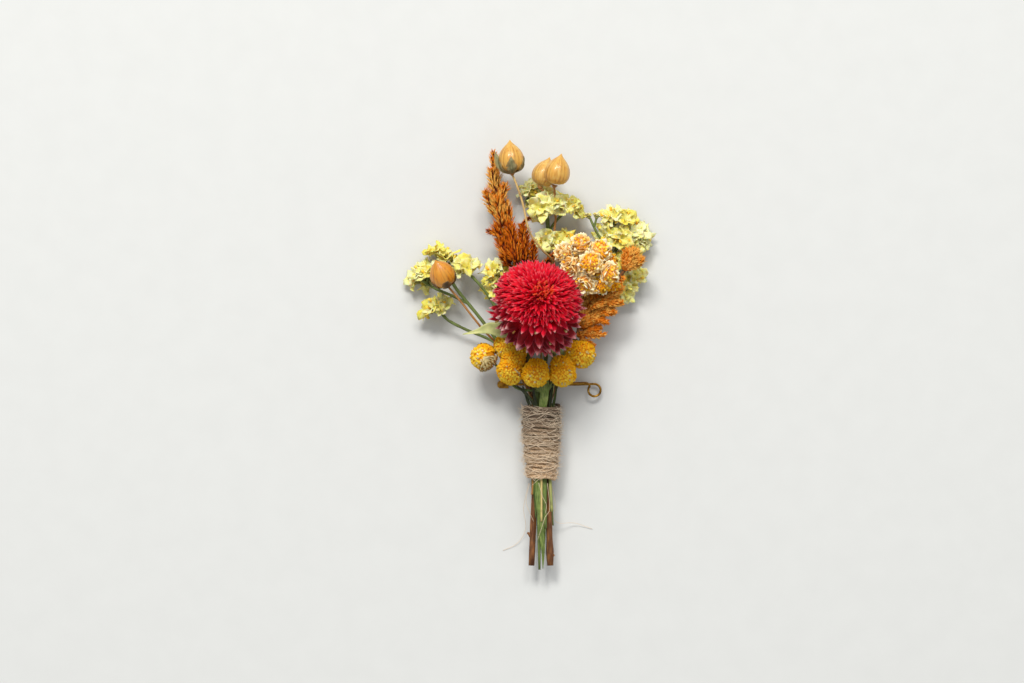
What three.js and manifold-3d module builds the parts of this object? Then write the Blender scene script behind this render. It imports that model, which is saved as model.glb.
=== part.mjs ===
// A dried-flower boutonniere lying on its back: a red globe amaranth among flax capsules, lemon
// statice, golden buttons, peach everlastings and rust plumes, bound with jute twine and pinned.
// Millimetres, +Z up, the cut stems towards -Y. Plants are laid out round the bundle's axis and
// the finished bunch is moved so that its origin is the bottom centre of its box.
import * as THREE from "three";
import { mergeVertices } from "three/addons/utils/BufferGeometryUtils.js";
import Module from "manifold-3d";

const wasm = await Module();
wasm.setup();

// Driving dimensions
const GAP = 0.3; // clearance where one piece sits against another
const WRAP = { x: 0.45, z: 5.2, top: -14.4, bottom: -37.8, pitch: 1.56, ridge: 0.5, bore: 3.75, press: 0.98 };
const RINGS = [0, 1.87, 2.98]; // the middle of the bundle and its two rings of stems
const AMARANTH = {
  centre: [-1.3, 13.6, 22.5],
  axis: [0.17, 0.4, 0.9],
  core: 10.6,
  reach: 14.2,
  neck: 11.4,
  bracts: 98,
};
const BUTTON = { radius: 4.0, depth: 3.1, knob: 0.45 };
const EVERLASTING = { radius: 2.95, knob: 0.42 };
const CAPSULE = { radius: 4.0, length: 9.6, ribs: 10 };
const FLORET = { rim: 3.7, height: 4.2, throat: 1.5, lip: 0.5, lobes: 5 };
const PIN = { wire: 0.35, back: 1.2, front: 3.0, y: -8.9, left: -10.6, loopX: 16.4, loopR: 1.85 };
const STALK = 0.33; // radius of a flax stalk

const COLOURS = {
  twine: [0xb59473, 0.95, 0],
  brass: [0xb98a35, 0.3, 1],
  amaranth: [0xb3122a, 0.7, 0],
  green: [0x6f8247, 0.75, 0],
  wood: [0x6b3a20, 0.85, 0],
  straw: [0xb79b66, 0.75, 0],
  capsule: [0xd9a055, 0.55, 0],
  statice: [0xe6df86, 0.8, 0],
  button: [0xe2a51c, 0.85, 0],
  everlasting: [0xefc07c, 0.8, 0],
  plume: [0xb4621d, 0.85, 0],
};

// Vectors and directions

const UP = new THREE.Vector3(0, 1, 0);
const vec = ([x, y, z]) => new THREE.Vector3(x, y, z);
const turnTo = (direction) => new THREE.Quaternion().setFromUnitVectors(UP, vec(direction).normalize());
const behind = (point, direction, distance) =>
  vec(point).addScaledVector(vec(direction).normalize(), -distance).toArray();

function seeded(seed) {
  let state = seed;
  return () => {
    state = (state * 16807) % 2147483647;
    return state / 2147483647;
  };
}

// Solids: closed geometry becomes a solid to join and cut, and a closed geometry again

function bareMesh(geometry) {
  const flat = geometry.index ? geometry.toNonIndexed() : geometry;
  const bare = new THREE.BufferGeometry();
  bare.setAttribute("position", flat.getAttribute("position"));
  return mergeVertices(bare, 1e-4);
}

function solidOf(geometry) {
  const merged = bareMesh(geometry);
  const index = merged.index.array;
  const kept = [];
  for (let i = 0; i < index.length; i += 3) {
    const [a, b, c] = index.slice(i, i + 3);
    if (a !== b && b !== c && c !== a) kept.push(a, b, c);
  }
  const vertProperties = merged.attributes.position.array;
  const build = (corners) =>
    new wasm.Manifold(new wasm.Mesh({ numProp: 3, vertProperties, triVerts: new Uint32Array(corners) }));
  const solid = build(kept);
  return solid.volume() > 0 ? solid : build(kept.reverse());
}

function geometryOf(solid) {
  const mesh = solid.getMesh();
  const geometry = new THREE.BufferGeometry();
  geometry.setAttribute("position", new THREE.BufferAttribute(mesh.vertProperties, 3));
  geometry.setIndex(new THREE.BufferAttribute(mesh.triVerts, 1));
  geometry.computeVertexNormals();
  return geometry;
}

const fuse = (solids) => wasm.Manifold.union(solids);

// The largest body of a solid: loose scraps go, and a hollow that fusing sealed is filled.
function oneBody(solid) {
  const bodies = solid.decompose();
  return bodies.reduce((best, body) => (body.volume() > best.volume() ? body : best));
}

// What reaches below the table is cut away, which leaves a small flat spot to rest on.
const belowTable = solidOf(new THREE.BoxGeometry(200, 200, 20).translate(0, 0, -10));
const onTable = (solid) => solid.subtract(belowTable);

function partMesh(name, solid, [color, roughness, metalness], position = [0, 0, 0], facing = null) {
  const material = new THREE.MeshStandardMaterial({ color, roughness, metalness });
  const mesh = new THREE.Mesh(geometryOf(oneBody(solid).simplify(0.02)), material);
  mesh.name = name;
  mesh.position.set(...position);
  if (facing) mesh.quaternion.copy(turnTo(facing));
  return mesh;
}

// Stems: a round section swept through listed points, with its steps on those points

class PlantPath extends THREE.CatmullRomCurve3 {
  getUtoTmapping(u) {
    return u;
  }
}

const pathOf = (points) => new PlantPath(points.map(vec));

function sweep(points, radius, sides) {
  const section = [];
  for (let i = 0; i < sides; i++) {
    const angle = (i / sides) * Math.PI * 2;
    section.push(new THREE.Vector2(radius * Math.cos(angle), radius * Math.sin(angle)));
  }
  return new THREE.ExtrudeGeometry(new THREE.Shape(section), {
    steps: points.length - 1,
    extrudePath: pathOf(points),
    bevelEnabled: false,
  });
}

const tube = (points, radius, sides = 6) => solidOf(sweep(points, radius, sides));

// A tube of changing thickness: each ring is scaled about its own point of the path.
function swollenTube(points, radii, sides = 6) {
  const geometry = sweep(points, 1, sides);
  const position = geometry.attributes.position;
  const centres = points.map(vec);
  for (let i = 0; i < position.count; i++) {
    const corner = new THREE.Vector3().fromBufferAttribute(position, i);
    const spans = centres.map((centre) => centre.distanceTo(corner));
    const ring = spans.indexOf(Math.min(...spans));
    corner.sub(centres[ring]).multiplyScalar(radii[ring]).add(centres[ring]);
    position.setXYZ(i, ...corner);
  }
  return solidOf(geometry);
}

// The lower run of a stem: from its cut end, through its own place among the rings of the bundle,
// straight up to the top of the twine. Below the twine the stems spread from the middle.
function bound(ring, degrees, endY, spread = 1.2) {
  const angle = THREE.MathUtils.degToRad(degrees);
  const [x, z] = [RINGS[ring] * Math.cos(angle), RINGS[ring] * Math.sin(angle)];
  const at = (y, share) => [WRAP.x + x * share, y, WRAP.z + z * share];
  const straight = [WRAP.bottom + 0.8, WRAP.top - 0.8, WRAP.top + 0.4].map((y) => at(y, 1));
  return [at(endY, spread), at(WRAP.bottom - 1.5, 1 + (spread - 1) * 0.1), ...straight];
}

// A pointed blade: a cone pressed flat, rooted at one point and leaning in one direction, with
// its width along the given side.
function blade(root, direction, side, [length, width, thickness], sides = 4) {
  const cone = new THREE.ConeGeometry(0.5, length, sides, 1).translate(0, length / 2, 0);
  const along = direction.clone().normalize();
  const face = new THREE.Vector3().crossVectors(side, along).normalize();
  const across = new THREE.Vector3().crossVectors(along, face);
  const basis = new THREE.Matrix4().makeBasis(across, along, face).setPosition(root);
  return solidOf(cone.scale(width, 1, thickness).applyMatrix4(basis));
}

// A leaf: a thick sheet folded along its rib, split into the same triangles on both faces.
function leaf(points, halfWidths, facing, thickness = 0.7, fold = 0.3) {
  const path = pathOf(points);
  const rows = points.length - 1;
  const shares = [-1, 0, 1];
  const position = [];
  const index = [];
  for (const side of [-0.5, 0.5]) {
    for (let row = 0; row <= rows; row++) {
      const along = path.getTangent(row / rows);
      const across = new THREE.Vector3().crossVectors(along, vec(facing)).normalize();
      const normal = new THREE.Vector3().crossVectors(across, along).normalize();
      for (const share of shares) {
        const corner = path.getPoint(row / rows);
        corner.addScaledVector(across, share * halfWidths[row]);
        corner.addScaledVector(normal, fold * halfWidths[row] * Math.abs(share) + side * thickness);
        position.push(...corner);
      }
    }
  }
  const at = (side, row, column) => (side * (rows + 1) + row) * shares.length + column;
  const quad = (a, b, c, d) => index.push(a, b, c, a, c, d);
  for (let row = 0; row < rows; row++) {
    for (const column of [0, 1]) {
      const next = column + 1;
      quad(at(1, row, column), at(1, row, next), at(1, row + 1, next), at(1, row + 1, column));
      index.push(at(0, row, column), at(0, row + 1, next), at(0, row, next));
      index.push(at(0, row, column), at(0, row + 1, column), at(0, row + 1, next));
    }
    quad(at(0, row, 0), at(1, row, 0), at(1, row + 1, 0), at(0, row + 1, 0));
    quad(at(0, row, 2), at(0, row + 1, 2), at(1, row + 1, 2), at(1, row, 2));
  }
  for (const column of [0, 1]) {
    quad(at(0, 0, column), at(0, 0, column + 1), at(1, 0, column + 1), at(1, 0, column));
    quad(at(0, rows, column), at(1, rows, column), at(1, rows, column + 1), at(0, rows, column + 1));
  }
  const geometry = new THREE.BufferGeometry();
  geometry.setAttribute("position", new THREE.Float32BufferAttribute(position, 3));
  geometry.setIndex(index);
  return solidOf(geometry);
}

// A round head of tight florets: a ball with every free-standing corner of its mesh raised.
function knobbed(radius, detail, knob, depth = radius) {
  const ball = bareMesh(new THREE.IcosahedronGeometry(radius, detail));
  const place = ball.attributes.position;
  const index = ball.index.array;
  const neighbours = Array.from({ length: place.count }, () => new Set());
  for (let i = 0; i < index.length; i += 3) {
    for (const [a, b] of [[0, 1], [1, 2], [2, 0]]) {
      neighbours[index[i + a]].add(index[i + b]);
      neighbours[index[i + b]].add(index[i + a]);
    }
  }
  const raised = new Set();
  for (let i = 0; i < place.count; i++) {
    if (![...neighbours[i]].some((other) => raised.has(other))) raised.add(i);
    const scale = 1 + (raised.has(i) ? knob : -knob) / radius;
    const [x, y, z] = [place.getX(i), place.getY(i), place.getZ(i)];
    place.setXYZ(i, x * scale, (y * scale * depth) / radius, z * scale);
  }
  return ball;
}

// Binding: jute twine in close turns, and a safety pin caught round one stem

function twineWrap() {
  const turns = Math.round((WRAP.top - WRAP.bottom) / WRAP.pitch);
  const radiusAt = (y) => 4.75 + 1.05 * THREE.MathUtils.smoothstep(y, WRAP.bottom, WRAP.top - 6);
  const profile = [];
  for (let turn = 0; turn < turns; turn++) {
    for (const [share, valley] of [[0, 1], [0.5, 0]]) {
      const y = WRAP.bottom + (turn + share) * WRAP.pitch;
      profile.push(new THREE.Vector2(radiusAt(y) - WRAP.ridge * valley, y));
    }
  }
  profile.push(new THREE.Vector2(WRAP.bore, WRAP.top), new THREE.Vector2(WRAP.bore, WRAP.bottom));
  profile.push(profile[0].clone());
  const wound = new THREE.LatheGeometry(profile, 15);
  const place = wound.attributes.position;
  for (let i = 0; i < place.count; i++) {
    const [x, y, z] = [place.getX(i), place.getY(i), place.getZ(i)];
    if (Math.hypot(x, z) < WRAP.bore + 0.01) continue;
    place.setXYZ(i, x, y + 0.25 * Math.sin(Math.atan2(z, x) + y), z * WRAP.press);
  }
  return onTable(solidOf(wound.translate(WRAP.x, 0, WRAP.z)));
}

function pinWire() {
  const { wire, back, front, y, left, loopX, loopR } = PIN;
  const points = [[left, y, back], [-4, y, back], [loopX - 6, y, back], [loopX - 1.5, y + 0.1, back]];
  const steps = 10;
  for (let i = 0; i <= steps; i++) {
    const share = i / steps;
    const angle = THREE.MathUtils.degToRad(80 - 300 * share);
    const [x, rise] = [loopX + loopR * Math.cos(angle), 0.1 + 1.4 * share];
    points.push([x, y + 0.15 - loopR + loopR * Math.sin(angle), back + rise]);
  }
  points.push([loopX - 2.1, y + 0.35, front - 0.15], [loopX - 4, y + 0.45, front], [-4, y + 0.1, front]);
  points.push([left, y, front]);
  return tube(points, wire);
}

function pinCap() {
  const { wire, back, front } = PIN;
  const [halfWidth, length, depth] = [1.15, 2.3, front - back + 2 * wire + 0.9];
  const outline = new THREE.Shape();
  outline.moveTo(length, -halfWidth);
  outline.lineTo(length, halfWidth);
  outline.lineTo(0, halfWidth);
  outline.absarc(0, 0, halfWidth, Math.PI / 2, (Math.PI * 3) / 2, false);
  const cap = new THREE.ExtrudeGeometry(outline, { depth, bevelEnabled: false, curveSegments: 5 });
  const socket = new THREE.BoxGeometry(2.6, 2 * (wire + GAP), depth - 0.7);
  return solidOf(cap).subtract(solidOf(socket.translate(length - 0.6, 0, depth / 2)));
}

function binding() {
  const group = new THREE.Group();
  group.add(partMesh("twine_wrap", twineWrap(), COLOURS.twine));
  group.add(partMesh("safety_pin_wire", pinWire(), COLOURS.brass));
  const capPlace = [PIN.left - 1.1, PIN.y, PIN.back - PIN.wire - 0.45];
  group.add(partMesh("safety_pin_cap", pinCap(), COLOURS.brass, capPlace));
  return group;
}

// Globe amaranth: a round head closely set with pointed papery bracts, which spread from its
// crown and open downwards like shingles, over a stem with two leaves close below the head

function amaranthHead() {
  const { core, reach, neck, bracts } = AMARANTH;
  const sunk = 1.6; // how deep a bract is rooted in the head
  const goldenAngle = Math.PI * (3 - Math.sqrt(5));
  const receptacle = new THREE.CylinderGeometry(2.6, 1.7, 2.4, 8).translate(0, 1.2 - neck, 0);
  const pieces = [solidOf(knobbed(core, 2, 0.6)), solidOf(receptacle)];
  for (let i = 0; i < bracts; i++) {
    const height = 1 - (1.78 * (i + 0.5)) / bracts;
    const polar = Math.acos(height);
    const turn = i * goldenAngle;
    const normal = vec([Math.sin(polar) * Math.cos(turn), height, Math.sin(polar) * Math.sin(turn)]);
    const side = new THREE.Vector3().crossVectors(UP, normal).normalize();
    const lean = 0.75 * THREE.MathUtils.smoothstep(polar, 0, 1.9);
    const direction = normal.clone().applyAxisAngle(side, lean);
    const width = THREE.MathUtils.lerp(3.0, 5.2, THREE.MathUtils.smoothstep(polar, 0.2, 1.6));
    const length = (reach - core + sunk) / Math.max(0.74, Math.cos(lean));
    const root = normal.clone().multiplyScalar(core - sunk);
    pieces.push(blade(root, direction, side, [length, width, 1.6]));
  }
  return fuse(pieces);
}

function amaranth() {
  const { centre, axis, neck } = AMARANTH;
  const seat = neck + GAP;
  const joint = [-4.2, 6.3, 9.3];
  const stem = [
    ...bound(1, 120, -64.5, 0.65),
    [-1.3, -9, 7.4],
    [-2.6, -3, 8.0],
    [-4.0, 3, 8.5],
    [-4.3, 6.5, 9.4],
    behind(centre, axis, seat + 1.4),
    behind(centre, axis, seat),
  ];
  const leftLeaf = [joint, [-7.8, 7.2, 10.6], [-11.8, 7.5, 13.0], [-16, 7.1, 13.6], [-23.2, 6.2, 12.8]];
  const rightLeaf = [joint, [0, 4.2, 10.2], [4.6, 1.9, 11.4], [8.8, -0.8, 12.0]];
  const group = new THREE.Group();
  group.add(partMesh("amaranth_head", amaranthHead(), COLOURS.amaranth, centre, axis));
  const leafy = fuse([
    tube(stem, 0.85),
    leaf(leftLeaf, [0.7, 1.2, 1.8, 1.2, 0.3], [0, 0.2, 1]),
    leaf(rightLeaf, [0.7, 1.3, 1.2, 0.3], [0, -0.3, 1]),
  ]);
  group.add(partMesh("amaranth_stem", leafy, COLOURS.green));
  return group;
}

// Flax: ribbed capsules, broad low down and drawn out to a sharp tip, on wiry stalks

// Shares of the length and of the widest radius, from the foot to the tip
const CAPSULE_OUTLINE = [
  [0, 0],
  [0.05, 0.62],
  [0.33, 1],
  [0.6, 0.86],
  [0.82, 0.42],
  [0.94, 0.09],
  [1, 0],
];

function capsuleRadius(share) {
  const next = Math.max(1, CAPSULE_OUTLINE.findIndex(([stop]) => share <= stop));
  const [[fromShare, from], [toShare, to]] = [CAPSULE_OUTLINE[next - 1], CAPSULE_OUTLINE[next]];
  return CAPSULE.radius * THREE.MathUtils.mapLinear(share, fromShare, toShare, from, to);
}

function capsule(scale) {
  const { length, ribs } = CAPSULE;
  const profile = CAPSULE_OUTLINE.map(
    ([share]) => new THREE.Vector2(capsuleRadius(share) * scale, share * length * scale),
  );
  const geometry = new THREE.LatheGeometry(profile, ribs * 2);
  const place = geometry.attributes.position;
  for (let i = 0; i < place.count; i++) {
    const angle = Math.atan2(place.getZ(i), place.getX(i));
    const groove = 1 - 0.025 * (1 - Math.cos(ribs * angle));
    place.setXYZ(i, place.getX(i) * groove, place.getY(i), place.getZ(i) * groove);
  }
  return solidOf(geometry);
}

// The end of a stalk just below a capsule, with five sepals that hug the capsule where it has them.
function calyx({ base, axis, scale, sepals }) {
  const turn = turnTo(axis);
  const seat = new THREE.CylinderGeometry(1.2 * scale, 0.5, 0.9, 10).translate(0, -0.45 - GAP, 0);
  const pieces = [solidOf(seat.applyQuaternion(turn).translate(...base))];
  for (let i = 0; i < sepals; i++) {
    const angle = ((i + 0.25) / sepals) * Math.PI * 2;
    const outward = new THREE.Vector3(Math.cos(angle), 0, Math.sin(angle));
    const points = [0, 0.1, 0.28, 0.48].map((share) => {
      const clear = share === 0 ? 0.6 : capsuleRadius(share) + 0.5 + GAP;
      const point = outward.clone().multiplyScalar(clear * scale);
      point.y = (share * CAPSULE.length - 0.75 * (1 - share * 2)) * scale;
      return point.applyQuaternion(turn).add(vec(base)).toArray();
    });
    const facing = outward.clone().negate().applyQuaternion(turn).toArray();
    const widths = [0.8, 1.6, 1.5, 0.3].map((width) => width * scale);
    pieces.push(leaf(points, widths, facing, 0.6, 0.12));
  }
  return fuse(pieces);
}

const CAPSULES = {
  top: { base: [-8.4, 55.0, 10.6], axis: [-0.07, 1, 0.06], scale: 1, sepals: 5 },
  back: { base: [0.2, 50.9, 8.8], axis: [0.3, 0.93, -0.1], scale: 0.94, sepals: 0 },
  front: { base: [4.4, 51.2, 14.0], axis: [0.21, 0.95, 0.12], scale: 0.98, sepals: 0 },
  left: { base: [-28.0, 21.3, 11.2], axis: [-0.36, 0.76, 0.54], scale: 0.98, sepals: 5 },
};

function flax() {
  const { top, back, front, left } = CAPSULES;
  const group = new THREE.Group();
  for (const [name, { base, axis, scale }] of Object.entries(CAPSULES)) {
    group.add(partMesh(`flax_capsule_${name}`, capsule(scale), COLOURS.capsule, base, axis));
  }
  const under = ({ base, axis }) => behind(base, axis, GAP + 0.5);
  const topStalk = [
    ...bound(2, 270, -46),
    [0.4, -9, 2.1],
    [0.4, 0, 2.3],
    [0.4, 12, 2.8],
    [1.6, 21, 3.2],
    [3.9, 27.6, 8.8],
    [0.2, 32, 13.8],
    [-3.2, 37, 15.4],
    [-5.1, 45.1, 13.6],
    [-7.0, 51, 11.6],
    under(top),
  ];
  const pairStalk = [
    ...bound(1, 300, -44),
    [2.6, -9, 4.0],
    [4.2, 2, 3.3],
    [5.2, 14, 3.3],
    [5.0, 23, 4.6],
    [4.2, 29, 5.8],
    [4.1, 33, 6.3],
    [4.3, 37, 7.0],
    [4.7, 41, 7.8],
    [4.7, 44, 8.7],
    [4.5, 47.6, 10.8],
    under(front),
  ];
  const fork = [[4.7, 41, 7.8], [4.0, 44.6, 8.3], [2.2, 47.8, 8.6], under(back)];
  const leftStalk = [
    ...bound(2, 150, -42, 1.1),
    [-4.4, -9, 6.4],
    [-8.8, -2.5, 6.0],
    [-12.6, 3, 6.9],
    [-15.8, 6.3, 9.2],
    [-18.4, 9.2, 10.4],
    [-24.3, 16.7, 11.0],
    under(left),
  ];
  const stalks = {
    flax_stalk_top: [tube(topStalk, STALK, 5), calyx(top)],
    flax_stalk_pair: [tube(pairStalk, STALK, 5), tube(fork, STALK, 5), calyx(front), calyx(back)],
    flax_stalk_left: [tube(leftStalk, STALK, 5), calyx(left)],
    straw_stem: [tube([...bound(2, 90, -50, 1), [0.45, -13.2, 8.2]], STALK, 5)],
  };
  for (const [name, pieces] of Object.entries(stalks)) {
    group.add(partMesh(name, fuse(pieces), COLOURS.straw));
  }
  return group;
}

// Golden buttons: domed discs of tight florets on a forked stalk, as [place, facing, mid-stalk]

const BUTTONS = [
  [[-17.0, -0.5, 10.2], [-0.55, 0.3, 0.78], [-7.2, -9.8, 7.4]],
  [[-9.9, 2.7, 9.8], [-0.2, 0.2, 0.96], [-6.0, -5.0, 8.2]],
  [[-8.9, -4.9, 11.6], [-0.15, -0.4, 0.9], [-4.4, -7.6, 8.2]],
  [[-1.3, -5.8, 14.2], [0, -0.45, 0.9], [0, -8.2, 10.2]],
  [[6.8, -5.6, 12.4], [0.12, -0.45, 0.88], [3.4, -8.4, 9.0]],
  [[12.7, 0.1, 11.0], [0.4, -0.25, 0.88], [7.4, -5.0, 7.9]],
];

function buttonHead() {
  const { radius, depth, knob } = BUTTON;
  const cup = new THREE.ConeGeometry(radius * 0.8, depth * 1.25, 9, 1).rotateX(Math.PI);
  return fuse([solidOf(knobbed(radius, 2, knob, depth)), solidOf(cup.translate(0, -depth * 0.7, 0))]);
}

function goldenButtons() {
  const fork = [1.3, -11.6, 8.6];
  const stalks = [tube([...bound(1, 60, -52, 1), [1.45, -12.8, 7.4], fork], 0.75)];
  const group = new THREE.Group();
  BUTTONS.forEach(([place, facing, middle], i) => {
    group.add(partMesh(`golden_button_${i + 1}`, buttonHead(), COLOURS.button, place, facing));
    const foot = BUTTON.depth * 1.325 + GAP;
    const [lead, end] = [foot + 1.2, foot].map((distance) => behind(place, facing, distance));
    const start = place[0] < 0 ? [fork, [0, -10.8, 9.4]] : [fork];
    stalks.push(tube([...start, middle, lead, end], 0.42, 4));
  });
  group.add(partMesh("golden_button_stalks", fuse(stalks), COLOURS.green));
  return group;
}

// Peach everlastings: small round heads standing out of a low cushion, as [place, scale]

const EVERLASTINGS = [
  [[7.5, 30.0, 13.6], 0.86],
  [[12.2, 33.0, 15.0], 1],
  [[18.0, 31.1, 15.2], 1],
  [[15.0, 27.6, 17.8], 1.04],
  [[9.5, 26.0, 15.4], 1],
  [[20.2, 25.0, 15.6], 1],
  [[13.4, 21.6, 15.4], 0.98],
  [[17.8, 21.4, 14.2], 0.8],
];

function everlastings() {
  const ball = new THREE.IcosahedronGeometry(1, 1);
  const cushion = solidOf(ball.scale(6.4, 6.2, 2.6).translate(14.2, 26.8, 14));
  const heads = EVERLASTINGS.map(([place, scale]) =>
    solidOf(knobbed(EVERLASTING.radius * scale, 2, EVERLASTING.knob).translate(...place)),
  );
  const stem = [
    ...bound(2, 30, -47),
    [3.9, -9, 7.2],
    [4.4, 2, 7.9],
    [5.2, 10, 7.8],
    [6.8, 16, 8.2],
    [9.6, 21, 8.8],
    [12.6, 24.5, 9.6],
    [13.8, 26.2, 11.0],
  ];
  const group = new THREE.Group();
  group.add(partMesh("everlasting_heads", fuse([cushion, ...heads]), COLOURS.everlasting));
  group.add(partMesh("everlasting_stem", tube(stem, 0.5, 5), COLOURS.green));
  return group;
}

// Rust plumes: bristles along a lumpy core, all sweeping towards the tip. A lobe is its spine
// with the plume's radius at each point of it.

function plumeLobe({ spine, radii, bristles, width }, random) {
  const path = pathOf(spine);
  const spans = spine.length - 1;
  const pieces = [swollenTube(spine, radii.map((radius) => radius * 0.5))];
  for (let i = 0; i < bristles; i++) {
    const share = i / bristles;
    const span = Math.floor(share * spans);
    const radius = THREE.MathUtils.lerp(radii[span], radii[span + 1], share * spans - span);
    const along = path.getTangent(share);
    const turn = i * 2.4 + 0.8 * random();
    const outward = new THREE.Vector3(-along.y, along.x, 0).normalize().applyAxisAngle(along, turn);
    const lift = 0.42 + 0.25 * random();
    const direction = along.clone().addScaledVector(outward, lift);
    const root = path.getPoint(share).addScaledVector(outward, radius * 0.22);
    const length = Math.min(8, (radius * 0.78 * direction.length()) / lift);
    const side = new THREE.Vector3().crossVectors(along, outward);
    pieces.push(blade(root, direction, side, [length, width, width * 0.8], 3));
  }
  return fuse(pieces);
}

const PLUME_LEFT = {
  spine: [
    [-3.0, 25.8, 9.2],
    [-6.0, 30.2, 9.4],
    [-8.8, 35.6, 9.4],
    [-11.0, 40.6, 9],
    [-13.2, 46.6, 8.2],
    [-14.2, 52.4, 6.8],
    [-14.8, 57.0, 6.0],
  ],
  radii: [3.8, 5.3, 5.6, 4.1, 4.3, 3.2, 1.8],
  bristles: 60,
  width: 2.2,
};

const PLUME_RIGHT = [
  {
    spine: [[12.0, 11.6, 9], [15.4, 14.8, 9.6], [19.6, 17.6, 9.8], [23.4, 20.0, 9.8]],
    radii: [2.8, 4.0, 3.8, 2.0],
  },
  { spine: [[11.8, 9.6, 8.4], [15.4, 11.0, 8.4], [19.0, 13.2, 8.6]], radii: [2.4, 3.4, 2.2] },
  { spine: [[11.4, 6.2, 8], [14.6, 5.8, 8.8], [18.2, 6.8, 9.2]], radii: [1.4, 2.6, 1.8] },
  { spine: [[26.0, 26.2, 10.6], [27.4, 28.0, 11.2], [28.4, 29.2, 11.6]], radii: [2.6, 3.2, 2.0] },
];

function plumes() {
  const group = new THREE.Group();
  const random = seeded(11);
  group.add(partMesh("plume_left", plumeLobe(PLUME_LEFT, random), COLOURS.plume));
  const leftStem = [
    ...bound(1, 180, -63.3, 1.6),
    [-3.0, -8, 5.6],
    [-4.0, 2, 5.9],
    [-4.0, 10, 6.0],
    [-2.6, 17, 6.4],
    [-1.5, 21.4, 7.6],
    [-2.2, 24.6, 8.9],
  ];
  group.add(partMesh("plume_left_stem", tube(leftStem, 0.78), COLOURS.wood));
  const lobes = PLUME_RIGHT.map((lobe) => {
    const bristles = 5 * (lobe.spine.length - 1);
    return plumeLobe({ ...lobe, bristles, width: 1.9 }, random);
  });
  const twigs = [
    tube([[11.4, 6.2, 8], [11.8, 9.6, 8.4], [12.0, 11.6, 9], [15.4, 14.8, 9.6], [19.6, 17.6, 9.8]], 0.6),
    tube([[19.6, 17.6, 9.8], [22.8, 21.4, 9.6], [24.6, 24.4, 10], [26.4, 26.8, 10.8]], 0.5, 5),
  ];
  group.add(partMesh("plume_right", fuse([...lobes, ...twigs]), COLOURS.plume));
  const rightStem = [...bound(1, 0, -63.3, 1.42), [5.0, -8, 5.4], [8.6, 1, 5.8], [10.6, 5.0, 6.4]];
  group.add(partMesh("plume_right_stem", tube(rightStem, 0.92), COLOURS.wood));
  return group;
}

// Statice: a spray's stem and branches, and its florets as [place, facing, size]. Each floret is
// a papery funnel with a lobed, waved rim, on a green tube from the nearest branch.

function floret(size) {
  const { rim, height, throat, lip, lobes } = FLORET;
  const profile = [[0, 0], [rim, height], [rim - 0.35, height + lip], [0, throat]].map(
    ([x, y]) => new THREE.Vector2(x * size, y * size),
  );
  const geometry = new THREE.LatheGeometry(profile, lobes * 2);
  const position = geometry.attributes.position;
  for (let i = 0; i < position.count; i++) {
    const [x, y, z] = [position.getX(i), position.getY(i), position.getZ(i)];
    const notch = (1 - Math.cos(lobes * Math.atan2(z, x))) / 2;
    const pull = 1 - 0.26 * notch;
    if (Math.hypot(x, z) > size) position.setXYZ(i, x * pull, y - 0.7 * size * notch, z * pull);
  }
  return geometry;
}

function nearestOn(paths, target) {
  const samples = paths.flatMap((path) => path.getPoints(40));
  const away = (point) => point.distanceTo(target);
  return samples.reduce((best, point) => (away(point) < away(best) ? point : best));
}

function staticeSpray(stems, florets, seed, extras = []) {
  const random = seeded(seed);
  const paths = stems.map(([points]) => pathOf(points));
  const pieces = stems.map(([points, radius]) => tube(points, radius, 5));
  for (const [place, facing, size] of florets) {
    const shape = floret(size).rotateY(random() * Math.PI);
    pieces.push(solidOf(shape.applyQuaternion(turnTo(facing)).translate(...place)));
    const root = nearestOn(paths, vec(place));
    const run = vec(place).sub(root);
    const [length, direction] = [run.length() + 0.9, run.toArray()];
    if (run.length() < 0.1) continue;
    const calyxTube = new THREE.CylinderGeometry(0.9 * size, 0.36, length, 4);
    const upright = calyxTube.translate(0, length / 2, 0);
    pieces.push(solidOf(upright.applyQuaternion(turnTo(direction)).translate(...root)));
  }
  return onTable(fuse([...pieces, ...extras]));
}

function staticeTop() {
  const main = [
    ...bound(0, 0, -54, 1),
    [1.0, -9, 5.3],
    [2.0, 2, 5.0],
    [3.0, 14, 4.8],
    [3.2, 25, 4.6],
    [2.4, 33, 4.8],
    [2.4, 38.5, 4.8],
    [1.8, 43, 4.6],
    [0.6, 47, 3.4],
  ];
  const stems = [
    [main, 0.62],
    [[[2.4, 37, 4.8], [5.0, 40.4, 5.2], [7.4, 43.0, 5.6], [8.4, 44.0, 5.8]], 0.4],
    [[[3.1, 29, 4.7], [2.0, 31.6, 6.2], [1.7, 33.2, 7.0]], 0.38],
    [[[2.2, 41, 4.6], [-1.2, 43.6, 4.2], [-4.4, 46.2, 3.8]], 0.34],
  ];
  const florets = [
    [[-2.4, 48.6, 1.8], [-0.45, 0.65, 0.6], 1],
    [[-0.3, 47.0, 3.0], [-0.4, 0.4, 0.85], 0.95],
    [[3.2, 45.6, 2.4], [0.2, 0.4, 0.9], 1.05],
    [[0.7, 44.2, 8.4], [-0.1, 0, 1], 1.15],
    [[7.4, 44.6, 7.0], [0.4, 0.4, 0.8], 1],
    [[9.2, 43.6, 5.4], [0.85, 0.1, 0.5], 1],
    [[1.7, 34.4, 6.2], [0.05, 0.1, 1], 0.95],
    [[6.4, 33.4, 4.6], [0.4, 0.35, 0.8], 1.1],
  ];
  const tipRib = [[-4.2, 46.0, 3.8], [-5.2, 48.4, 3.8], [-5.4, 51.6, 3.6]];
  return staticeSpray(stems, florets, 3, [leaf(tipRib, [0.6, 1.3, 0.4], [0.2, 0, 1])]);
}

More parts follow.
